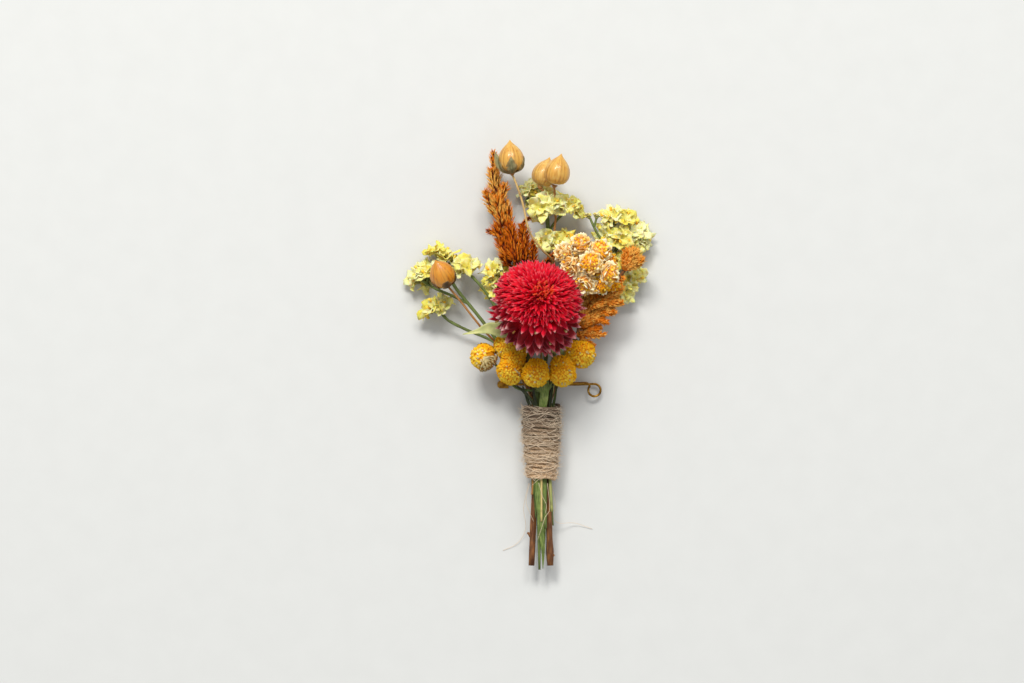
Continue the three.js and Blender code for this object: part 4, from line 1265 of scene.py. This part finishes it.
# A tuft of flat blades, one millimetre long, fanned about +Y
def bladeTuft(seed, count, width, spread):
    rng = random.Random(seed)
    bm = startMesh()
    cone = {"segments": 3, "radius1": width, "radius2": width * 0.1, "depth": 1, "cap_ends": True}
    for _ in range(count):
        made = bmesh.ops.create_cone(bm, **cone)
        length = rng.uniform(0.5, 1.0)
        lean = Vector((rng.gauss(0, spread), 1, rng.gauss(0, spread)))
        stand = lean.to_track_quat("Z", "Y").to_matrix().to_4x4() @ Matrix.Rotation(rng.uniform(0, 3), 4, "Z")
        rise = Matrix.Translation((0, rng.uniform(0, 0.25), 0)) @ stand @ Matrix.Diagonal((1, 0.5, length, 1))
        bmesh.ops.transform(bm, verts=made["verts"], matrix=rise @ Matrix.Translation((0, 0, 0.5)))
    setAlong(bm, lambda vert: vert.co.y)
    return keepMesh(bm, f"blades{seed}")


def addLobe(bm, tufts, lobe, kind, light, rng):
    form = plume["lobe"]
    foot, tip, radius = Vector(lobe[0]), Vector(lobe[1]), lobe[2]
    along, length = (tip - foot).normalized(), (tip - foot).length
    outline, (shortest, longest) = form["outline"], form["reach"]
    core = [(foot.lerp(tip, share), radius * wide * form["core"]) for share, wide in outline]
    addTubes(bm, [core], 0, 0, 1)
    start = along.orthogonal().normalized()
    count = int(math.tau * radius * length * kind["density"]) + 6
    for i in range(count):
        share = (i + rng.random()) / count * form["covered"]
        wide = radius * follow(outline, share)
        turn = i * goldenAngle + rng.uniform(-form["turn"], form["turn"])
        outward = start.copy()
        outward.rotate(Matrix.Rotation(turn, 3, along))
        lift = rng.uniform(*form["lifts"])
        direction = along + outward * lift + scatter(rng, 0.25)
        root = foot.lerp(tip, share) + outward * wide * form["roots"]
        reach = min(longest, max(shortest, wide * 0.75 * direction.length / lift))
        reach *= rng.uniform(*form["uneven"])
        tone = (reach - form["paleFrom"]) * 0.6 + light
        size = (1, min(reach, kind["longest"]), 1)
        setDown(bm, rng.choice(tufts), towards(root, direction, outward, size), tone, rng.random())


def buildPlumes(finishes, stem):
    rng = random.Random(9)
    for side, kind in plume["kinds"].items():
        bm = startMesh()
        tufts = [bladeTuft(seed, **kind["tuft"]) for seed in kind["seeds"]]
        for lobe in kind["lobes"]:
            light = mix(*kind["lightRise"], smoothStep(lobe[0][1], 26, 45))
            addLobe(bm, tufts, lobe, kind, light + rng.uniform(*kind["lightRange"]), rng)
        if side == "Right":
            addTubes(bm, [smoothPath(*twig) for twig in plume["twigs"]], 0.95, 0.5, 1, 1, 0.3)
        finishPiece(f"plume{side}", bm, finishes[side], [f"plume_{side.lower()}"])
    for side, stalk in plume["stalks"].items():
        bm = startMesh()
        addTubes(bm, [smoothPath(stalk["points"], stalk["radius"])], 0.98, 0.5, 2, uneven=0.25)
        addTubes(bm, [smoothPath(*stalk["knot"], 3)], 0.94, 0.5, 2, uneven=0.4)
        finishPiece(f"plumeStalk{side}", bm, [stem], [f"plume_{side.lower()}_stem"])


# Statice: crumpled papery funnels on thin branched stems

statice = {
    "funnel": {
        "rim": 3.75,
        "height": 3.3,
        "sides": 40,
        "thickness": 0.08,
        "rings": (  # width and height of each, as shares
            (0.08, 0.3), (0.2, 0.4), (0.36, 0.56), (0.53, 0.73), (0.7, 0.87), (0.86, 0.96), (1.0, 1.0),
        ),
        "lobes": 5,
        "lobeDepth": 0.16,
        "lobeDrop": 0.6,
        "frills": ((2.6, 0.4), (8, 0.22)),  # how fine and how deep the rim moves in and out
        "folds": ((1.6, 2.4), (4.5, 0.9)),  # likewise up and down
        "crumples": (0.6, 0.7),
    },
    "head": {  # the funnels of one floret: a large one, one inside it and two beside it
        "sizes": (0.95, 0.66, 0.6),
        "inside": 0.7,
        "beside": 1.7,
        "turns": (0, 3.1),
        "dots": 3,
        "dotChance": 0.5,
    },
    "sprays": {
        "top": {
            "stems": (  # points and radius
                ([*bound(0, 0, -54, 1), (1.0, -9, 5.3), (2.0, 2, 5.0), (3.0, 14, 4.8), (3.2, 25, 4.6),
                  (2.4, 33, 4.8), (2.4, 38.5, 4.8), (1.8, 43, 4.6), (0.6, 47, 3.4)], 0.62),
                ([(2.4, 37, 4.8), (5.0, 40.4, 5.2), (7.4, 43.0, 5.6), (8.4, 44.0, 5.8)], 0.4),
                ([(3.1, 29, 4.7), (2.0, 31.6, 6.2), (1.7, 33.2, 7.0)], 0.38),
                ([(2.2, 41, 4.6), (-1.2, 43.6, 4.2), (-4.4, 46.2, 3.8)], 0.34),
            ),
            "florets": (  # place, the way each faces, and its size
                ((-2.4, 48.6, 1.8), (-0.45, 0.65, 0.6), 1),
                ((-0.3, 47.0, 3.0), (-0.4, 0.4, 0.85), 0.95),
                ((3.2, 45.6, 2.4), (0.2, 0.4, 0.9), 1.05),
                ((0.7, 44.2, 8.4), (-0.1, 0, 1), 1.15),
                ((4.4, 45.8, 9.4), (0.1, 0.1, 1), 0.72),
                ((7.4, 44.6, 7.0), (0.4, 0.4, 0.8), 1),
                ((9.2, 43.6, 5.4), (0.85, 0.1, 0.5), 1),
                ((1.7, 34.4, 6.2), (0.05, 0.1, 1), 0.95),
                ((6.4, 33.4, 4.6), (0.4, 0.35, 0.8), 1.1),
            ),
        },
        "left": {
            "stems": (
                ([*bound(2, 210, -56, 0.85), (-4.4, -8, 4.2), (-9.6, 0, 4.2), (-14.5, 6.5, 4.6),
                  (-18, 11.1, 5.0), (-22.5, 16.6, 5.2), (-25.6, 20.6, 5.2), (-27.4, 24.4, 4.8),
                  (-29.0, 27.6, 4.6)], 0.5),
                ([(-21.6, 15.4, 5.1), (-26.4, 17.8, 4.6), (-30.6, 19.6, 4.2), (-34, 21.4, 3.4)], 0.42),
                ([(-11.5, 2.6, 4.3), (-15.9, 5.0, 3.6), (-21.7, 7.4, 4.0), (-27.4, 10.3, 4.6),
                  (-29.2, 12.0, 4.4)], 0.45),
            ),
            "florets": (
                ((-30.8, 29.6, 3.8), (-0.3, 0.95, 0.3), 0.98),
                ((-28.6, 28.2, 3.4), (0.1, 0.8, 0.55), 1.05),
                ((-25.4, 27.0, 4.2), (0.5, 0.75, 0.45), 0.8),
                ((-35.8, 23.0, 2.8), (-0.85, 0.5, 0.3), 1.05),
                ((-33.6, 24.0, 3.2), (-0.45, 0.8, 0.5), 1),
                ((-33.0, 22.0, 2.9), (-0.3, 0.5, -0.85), 0.95),
                ((-31.6, 13.2, 4.0), (-0.75, 0.35, 0.65), 1.05),
                ((-29.6, 14.4, 3.8), (0.1, 0.7, 0.7), 0.95),
            ),
        },
        "back": {
            "stems": (
                ([*bound(1, 240, -45, 1.1), (-1.6, -9, 4.4), (-5, 2, 4.2), (-8.4, 10, 4.8), (-11, 17, 5.2),
                  (-12.4, 22, 5.6)], 0.45),
                ([(-8.0, 9, 4.8), (-12.4, 13, 6.4), (-16.6, 19.4, 7.0), (-20.4, 23.6, 6.8)], 0.45),
            ),
            "florets": (
                ((-13.2, 24.0, 5.0), (-0.3, 0.6, 0.75), 1.05),
                ((-10.6, 23.8, 4.6), (0.3, 0.55, 0.75), 1),
                ((-13.4, 20.2, 5.0), (-0.7, 0, 0.75), 0.95),
                ((-21.9, 25.4, 5.6), (-0.05, 0.6, 0.8), 1.05),
            ),
        },
        "right": {
            "stems": (
                ([*bound(2, 330, -51.3, 1.25), (5.8, -8, 4.2), (11, 2, 3.8), (16.6, 14, 3.6), (20.4, 24, 3.8),
                  (22.6, 31, 4.0), (24.6, 36, 3.8)], 0.5),
                ([(22.0, 29, 4.0), (19.6, 33.4, 5.4), (17.2, 36.6, 6.2), (16.1, 38.8, 6.4),
                  (15.0, 41.2, 6.4)], 0.38),
                ([(16.3, 38.4, 6.4), (16.8, 40.4, 6.8), (17.0, 41.2, 6.8)], 0.34),
                ([(23.0, 32, 4.0), (27.0, 34.4, 3.6), (29.6, 35.2, 3.2)], 0.38),
                ([(19.2, 21, 3.8), (23.0, 20.8, 3.6), (25.4, 21.8, 3.4)], 0.38),
            ),
            "florets": (
                ((21.8, 40.6, 4.0), (-0.3, 0.7, 0.7), 1),
                ((25.4, 39.4, 3.6), (0.1, 0.75, 0.7), 1.1),
                ((28.8, 36.6, 3.2), (0.4, 0.6, 0.7), 1.1),
                ((30.2, 34.6, 3.0), (0.7, 0.1, 0.6), 0.85),
                ((24.6, 34.8, 4.4), (-0.1, 0.1, 1), 1.15),
                ((20.4, 35.6, 4.2), (-0.65, 0.3, 0.75), 1),
                ((27.0, 32.4, 3.2), (0.2, -0.4, 0.9), 1.05),
                ((23.0, 27.6, 3.2), (-0.1, 0.2, 1), 0.95),
                ((28.0, 23.8, 2.8), (0.5, 0.2, 0.85), 1),
                ((25.6, 19.8, 2.8), (0.4, -0.5, 0.8), 0.95),
                ((28.4, 35.0, 2.9), (0.3, 0.3, -0.9), 0.95),
                ((14.7, 41.4, 6.4), (-0.5, 1, 0.3), 0.3),
                ((17.0, 41.4, 6.8), (0.1, 1, 0.3), 0.3),
            ),
        },
    },
}


def paperFinish():
    look = Look("staticePaper")
    along, tint = look.along(), look.own("tint")
    patch = look.grain(0.55)
    body = look.ramp(
        patch + (tint - 0.5) * 0.35,
        (0.28, 233, 209, 82),
        (0.45, 239, 223, 122),
        (0.58, 241, 231, 155),
        (0.72, 241, 233, 178),
    )
    throat = look.mix(paint(212, 192, 84), body, look.between(along, 0.0, 0.3))
    veins = look.grain(2.4, detail=5, distortion=0.8)
    relief, glow = look.bump(veins, 0.25, 0.8), {"Subsurface_Weight": 0.25, "Subsurface_Scale": 0.0015}
    return look.finish(throat, 0.7, relief, **glow)


# A papery funnel round +Z: rings drawn out from its foot, pulled into lobes and crumpled
def paperFunnel(rng):
    form = statice["funnel"]
    bm = startMesh()
    made = bmesh.ops.create_circle(bm, segments=form["sides"], radius=1, cap_ends=False)
    ring, edges = made["verts"], bm.edges[:]
    shares, rows = {}, form["rings"]
    fine, deep = form["crumples"]
    seed = scatter(rng, 50)
    for step, (wide, high) in enumerate(rows):
        if step:
            made = bmesh.ops.extrude_edge_only(bm, edges=edges)["geom"]
            ring = [item for item in made if isinstance(item, bmesh.types.BMVert)]
            edges = [item for item in made if isinstance(item, bmesh.types.BMEdge)]
            edges = [edge for edge in edges if all(vert in ring for vert in edge.verts)]
        for vert in ring:
            shares[vert] = step / (len(rows) - 1)
            angle = math.atan2(vert.co.y, vert.co.x)
            flat = Vector((math.cos(angle), math.sin(angle), 0))
            lobe = 0.5 - 0.5 * math.cos(form["lobes"] * angle)
            frill = sum(noise.noise(flat * often + seed) * far for often, far in form["frills"])
            fold = sum(noise.noise(flat * often - seed) * far for often, far in form["folds"])
            rim = 1 - form["lobeDepth"] * lobe * wide + frill * wide
            radius = form["rim"] * wide * rim
            rise = (fold - form["lobeDrop"] * lobe) * wide ** 1.5
            height = form["height"] * high + rise
            crumple = noise.noise_vector(flat * radius * fine + seed) * deep * wide
            vert.co = flat * radius + Vector((0, 0, height)) + crumple
    setAlong(bm, shares.get)
    thicken(bm, form["thickness"])
    return keepMesh(bm, "paperFunnel")


def nearest(paths, target):
    samples = [point for path in paths for point, _ in path]
    return min(samples, key=lambda point: (point - target).length)


# The funnels of one floret: where each stands, the way it faces, and its share of the size
def funnelParts(place, facing, size, rng):
    head = statice["head"]
    large, inner, small = head["sizes"]
    inside = place + facing * head["inside"]
    parts = [(place, facing, large), (inside, facing + scatter(rng, 0.4), inner)]
    for turn in head["turns"]:
        away = facing.orthogonal().normalized()
        away.rotate(Matrix.Rotation(turn + rng.uniform(-0.6, 0.6), 3, facing))
        foot = place + away * head["beside"] * size + facing * rng.uniform(0, 1)
        parts.append((foot, facing + away * 0.8, small))
    return parts


def buildStatice(paper, gold, stem):
    dot = tinyFloret("staticeDot", 0.2, 0.5)
    for number, (name, spray) in enumerate(statice["sprays"].items()):
        rng = random.Random(number + 30)
        paths = [smoothPath(*run) for run in spray["stems"]]
        bm = startMesh()
        stalks, calyxes = list(paths), []
        for place, facing, size in spray["florets"]:
            place, facing = Vector(place), Vector(facing).normalized()
            start = nearest(paths, place)
            stalks.append([(start, 0.3), (start.lerp(place, 0.6), 0.4), (place, 0.5)])
            for foot, rise, share in funnelParts(place, facing, size, rng):
                funnel = paperFunnel(rng)
                turned = upright(foot, rise) @ Matrix.Rotation(rng.uniform(0, math.tau), 4, "Z")
                setDown(bm, funnel, turned @ Matrix.Scale(size * share, 4), 0, rng.random())
                bpy.data.meshes.remove(funnel)
                away = rise.normalized() * size * share
                calyxes.append([
                    (foot - away * 1.8, 0.3),
                    (foot - away * 0.4, 0.6 * share),
                    (foot + away * 0.95, 0.9 * share),
                ])
            side = facing.orthogonal().normalized()
            for _ in range(statice["head"]["dots"]):
                if rng.random() < statice["head"]["dotChance"]:
                    spread = side * rng.uniform(-1, 1) + facing.cross(side) * rng.uniform(-1, 1)
                    spot = place + (facing * 1.7 + spread * 1.6) * size
                    turned = towards(spot, facing + spread * 0.3, side, (size, 2.0 * size, size))
                    setDown(bm, dot, turned, 0, rng.uniform(0.4, 1), 1)
        settle(bm)
        finishPiece(f"staticeFlorets{name.title()}", bm, [paper, gold], [f"statice_{name}"])
        bm = startMesh()
        addTubes(bm, stalks, 0.08, 0.5, uneven=0.2)
        addTubes(bm, calyxes, 0.3, 0.7, 2, uneven=0.3)
        settle(bm)
        finishPiece(f"staticeStalks{name.title()}", bm, [stem])


# Jute twine: three plies twisted together, wound round the bundle, with loose fuzz

twine = {
    "turns": 20,
    "steps": 100,  # of each turn
    "thick": 0.68,
    "path": 5,  # mean radius of a turn, for the length of the rope
    "plies": 3,
    "twist": 3.0,  # length in which the plies go round once
    "plyPlace": 0.42,  # from the rope's middle, as a share of its thickness
    "plyRadius": 0.52,
    "plyRange": 0.12,
    "sway": 0.4,
    "bulge": 0.35,
    "strays": {"count": 9, "steps": 60, "radius": 0.2, "middles": (0.1, 0.9), "tilt": 0.09, "reach": 0.9},
    "fuzz": {
        "count": 1100,
        "lowest": 2,  # none starts under this height
        "slant": 0.8,
        "lengths": (1.2, 4.4),
        "lifts": (0, 0.5),
        "tips": (-0.9, 0.7),  # how far a tip goes in or out
        "radii": [0.06, 0.05, 0.02],
    },
    "hairs": (  # long loose fibres below the wrap
        ((-3.1, -38.5, 6.4), (-4.2, -44, 6.6), (-3.1, -47.3, 6.9), (-1.9, -50.0, 6.6)),
        ((-0.7, -55.4, 7.8), (0.6, -51.6, 9.2), (1.6, -48.6, 9.3), (2.9, -46.4, 8.4), (2.2, -38.5, 8.6)),
        ((-3.4, -38.5, 4.2), (-4.9, -46.0, 3.0), (-4.3, -52.4, 1.4), (-6.8, -56.7, 0.5), (-11.1, -58.9, 0.2)),
        ((3.4, -38.5, 4.6), (4.6, -45.0, 4.0), (4.6, -50.0, 3.2), (10.4, -50.6, 1.0), (15.8, -52.4, 0.2)),
        ((-0.4, -38.4, 9.4), (0.8, -42.6, 9.4), (1.9, -45.0, 9.1), (1.6, -47.6, 8.6)),
    ),
}


def juteFinish():
    look = Look("jute")
    strand = look.grain(2.4, detail=6, distortion=0.5)
    patch = look.grain(0.25, detail=3)
    tone = look.own("tone")
    up = look.node("SeparateXYZ", inputs={"Vector": look.node("TexCoord", out="Object")}, out="Y")
    body = look.ramp(
        strand + (patch - 0.5) * 0.4,
        (0.25, 134, 98, 66),
        (0.5, 204, 166, 124),
        (0.75, 244, 214, 174),
    )
    # Painted shadow: the twine darkens towards its top, where the flower heads above it shade it
    shadedTop = look.mix(body, paint(52, 31, 18), look.between(up, -0.038, -0.019, 0, 0.9))
    colour = look.mix(shadedTop, paint(236, 216, 188), tone)
    return look.finish(colour, 0.9, look.bump(strand, 0.2, 0.9), Sheen_Weight=0.05)


def wrapRadius(y):
    return wrap["radius"] + wrap["swell"] * smoothStep(y, wrap["bottom"], wrap["top"] - wrap["full"])


# A point round the bundle, pressed flat below and never nearer the table than a lowest height
def roundBundle(angle, radius, y, lowest):
    z = max(wrap["z"] + radius * wrap["press"] * math.sin(angle), lowest)
    return Vector((wrap["x"] + radius * math.cos(angle), y, z))


def twineCentre(share):  # the rope's middle at a share of all the turns
    angle = share * twine["turns"] * math.tau
    wander = Vector((math.cos(angle), math.sin(angle), share * 9))
    low, high = wrap["bottom"] + wrap["inset"], wrap["top"] - wrap["inset"]
    y = mix(low, high, share) + twine["sway"] * noise.noise(wander * 1.3)
    radius = wrapRadius(y) - twine["thick"] + twine["bulge"] * noise.noise(wander * 2.1)
    return roundBundle(angle, radius, y, twine["thick"] + 0.02)


def outwards(point):
    return Vector((point.x - wrap["x"], 0, point.z - wrap["z"])).normalized()


def twinePly(number):
    steps = twine["turns"] * twine["steps"]
    path = []
    for i in range(steps + 1):
        share = i / steps
        centre = twineCentre(share)
        length = share * twine["turns"] * math.tau * twine["path"]
        turn = length / twine["twist"] * math.tau + number * math.tau / twine["plies"]
        offset = outwards(centre) * math.cos(turn) + Vector((0, 1, 0)) * math.sin(turn)
        thin = 1 + twine["plyRange"] * noise.noise(Vector((length * 0.8, number * 7, 0)))
        radius = twine["thick"] * twine["plyRadius"] * thin
        path.append((centre + offset * twine["thick"] * twine["plyPlace"], radius))
    return path


def strayStrand(rng):  # a thin strand that strays over the turns
    strays = twine["strays"]
    middle, tilt = rng.uniform(*strays["middles"]), rng.uniform(-strays["tilt"], strays["tilt"])
    start = rng.uniform(0, math.tau)
    strand = []
    for i in range(strays["steps"] + 1):
        turn = start + i / strays["steps"] * math.tau * strays["reach"]
        y = mix(wrap["bottom"] + 1.2, wrap["top"] - 1.2, middle + tilt * math.sin(turn * 1.4))
        radius = wrapRadius(y) + 0.1 + 0.25 * noise.noise(Vector((turn, y, 3)))
        strand.append((roundBundle(turn, radius, y, 0.25), strays["radius"]))
    return strand


def buildTwine(jute):
    fuzz = twine["fuzz"]
    rng = random.Random(12)
    bm = startMesh()
    addTubes(bm, [twinePly(number) for number in range(twine["plies"])], 0.1, 0.5, 1, uneven=0.2)
    addTubes(bm, [strayStrand(rng) for _ in range(twine["strays"]["count"])], 0.45, 0.5, 0, uneven=0.4)
    fibres = []
    for _ in range(fuzz["count"]):
        start = twineCentre(rng.random())
        outward = outwards(start)
        if start.z < fuzz["lowest"]:
            continue
        slant = rng.uniform(-fuzz["slant"], fuzz["slant"])
        lie = Vector((-outward.z, slant, outward.x)) * rng.choice((-1, 1))
        lie *= rng.uniform(*fuzz["lengths"]) * 0.4
        bend = start + outward * (twine["thick"] + rng.uniform(*fuzz["lifts"])) + lie
        tip = bend + lie + outward * rng.uniform(*fuzz["tips"]) + scatter(rng, 0.8)
        tip.z = max(tip.z, 0.3)
        foot = start + outward * twine["thick"] * 0.7
        fibres.append(smoothPath([foot, bend, tip], fuzz["radii"], 3))
    for hair in twine["hairs"]:
        fibres.append([(Vector((*point.xy, max(point.z, 0.1))), 0.06) for point, _ in smoothPath(hair, 0)])
    addTubes(bm, fibres, 0.75, 0.5, 0)
    finishPiece("twineWrap", bm, [jute], ["twine_wrap"])


# Brass safety pin: bent wire with an eye, and its clasp

pin = {
    "wire": 0.35,
    "back": 1.2,
    "front": 3.0,
    "y": -8.9,
    "left": -10.6,
    "eyeX": 16.4,
    "eyeRadius": 1.85,
    "eyeSteps": 24,
    "eyeTurn": (80, -220),  # degrees at its start and at its end
    "eyeRise": (0.1, 1.5),
    "clasp": {"round": 1.0, "roundSteps": 6, "rim": 0.22, "rimSteps": 3},
}


def brassFinish():
    look = Look("agedBrass")
    cloud = look.grain(0.8, detail=5)
    scratch = look.grain(5, (1, 0.2, 1))
    colour = look.ramp(
        cloud,
        (0.3, 104, 72, 30),
        (0.55, 160, 118, 50),
        (0.8, 214, 176, 96),
    )
    shine = look.between(cloud, 0.3, 0.7, 0.42, 0.2)
    return look.finish(colour, shine, look.bump(scratch, 0.02, 0.4), Metallic=1.0)


def roundEdges(bm, edges, radius, steps):
    shape = {"offset": radius, "segments": steps, "profile": 0.5, "affect": "EDGES", "material": -1}
    bmesh.ops.bevel(bm, geom=edges, **shape)


def buildPin(brass):
    back, front, y, left, eyeX = [pin[key] for key in ("back", "front", "y", "left", "eyeX")]
    clasp, radius = pin["clasp"], pin["eyeRadius"]
    points = [(left, y, back), (-4, y, back), (eyeX - 6, y, back), (eyeX - 1.5, y + 0.1, back)]
    for i in range(pin["eyeSteps"] + 1):
        share = i / pin["eyeSteps"]
        angle = math.radians(mix(*pin["eyeTurn"], share))
        across, up = radius * math.cos(angle), radius * math.sin(angle)
        points.append((eyeX + across, y + 0.15 - radius + up, back + mix(*pin["eyeRise"], share)))
    points += [(eyeX - 2.1, y + 0.35, front - 0.15), (eyeX - 4, y + 0.45, front)]
    points += [(-4, y + 0.1, front), (left, y, front)]
    bm = startMesh()
    addTubes(bm, [smoothPath(points, pin["wire"], 4)], 0, 0.5, 2)
    finishPiece("pinWire", bm, [brass], ["safety_pin_wire"])
    low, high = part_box("safety_pin_cap")
    bm = startMesh()
    made = bmesh.ops.create_cube(bm, size=1)
    bmesh.ops.scale(bm, verts=made["verts"], vec=(high - low) * 1000)
    ends = {edge: [vert.co for vert in edge.verts] for edge in bm.edges}
    outer = [edge for edge, (a, b) in ends.items() if abs(a.z - b.z) > 1 and a.x < 0]
    roundEdges(bm, outer, clasp["round"], clasp["roundSteps"])
    ends = {edge: [vert.co for vert in edge.verts] for edge in bm.edges}
    rim = [edge for edge, (a, b) in ends.items() if abs(a.z - b.z) < 0.01]
    roundEdges(bm, rim, clasp["rim"], clasp["rimSteps"])
    bmesh.ops.translate(bm, verts=bm.verts[:], vec=(low + high) * 500 - Vector(layoutShift))
    finishPiece("pinClasp", bm, [brass], ["safety_pin_cap"])


# The whole piece

buildStudio()
print("studio ready")
stemLook = stemFinish()
strawLook = goldFinish("strawHusk", paint(140, 112, 62), paint(206, 182, 118), paint(234, 218, 166))
buildAmaranthHead(bractFinish(), strawLook)
buildAmaranthStem(stemLook, leafFinish())
print("amaranth ready")
buildCapsules(capsuleFinish())
buildFlaxStalks(stemLook, sepalFinish())
print("flax ready")
goldLook = goldFinish("goldenFloret", paint(244, 166, 24), paint(255, 186, 20), paint(255, 222, 78))
buildButtons(goldLook, strawLook)
buildButtonStalks(stemLook)
print("golden buttons ready")
amberLook = goldFinish("amberFloret", paint(240, 160, 44), paint(255, 178, 28), paint(255, 226, 90))
buildEverlastings(peachFinish(), amberLook, stemLook)
print("everlastings ready")
bristleLook = plumeFinish("rustBristle", paint(76, 22, 0))
fluffLook = plumeFinish("rustFluff", paint(225, 131, 38))
buildPlumes({"Left": [bristleLook], "Right": [fluffLook, stemLook]}, stemLook)
print("plumes ready")
buildStatice(paperFinish(), amberLook, stemLook)
print("statice ready")
buildTwine(juteFinish())
buildPin(brassFinish())
print("twine and pin ready")

meshes = [item.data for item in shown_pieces() if item.type == "MESH"]
print("triangles in all", sum(len(face.vertices) - 2 for mesh in meshes for face in mesh.polygons))
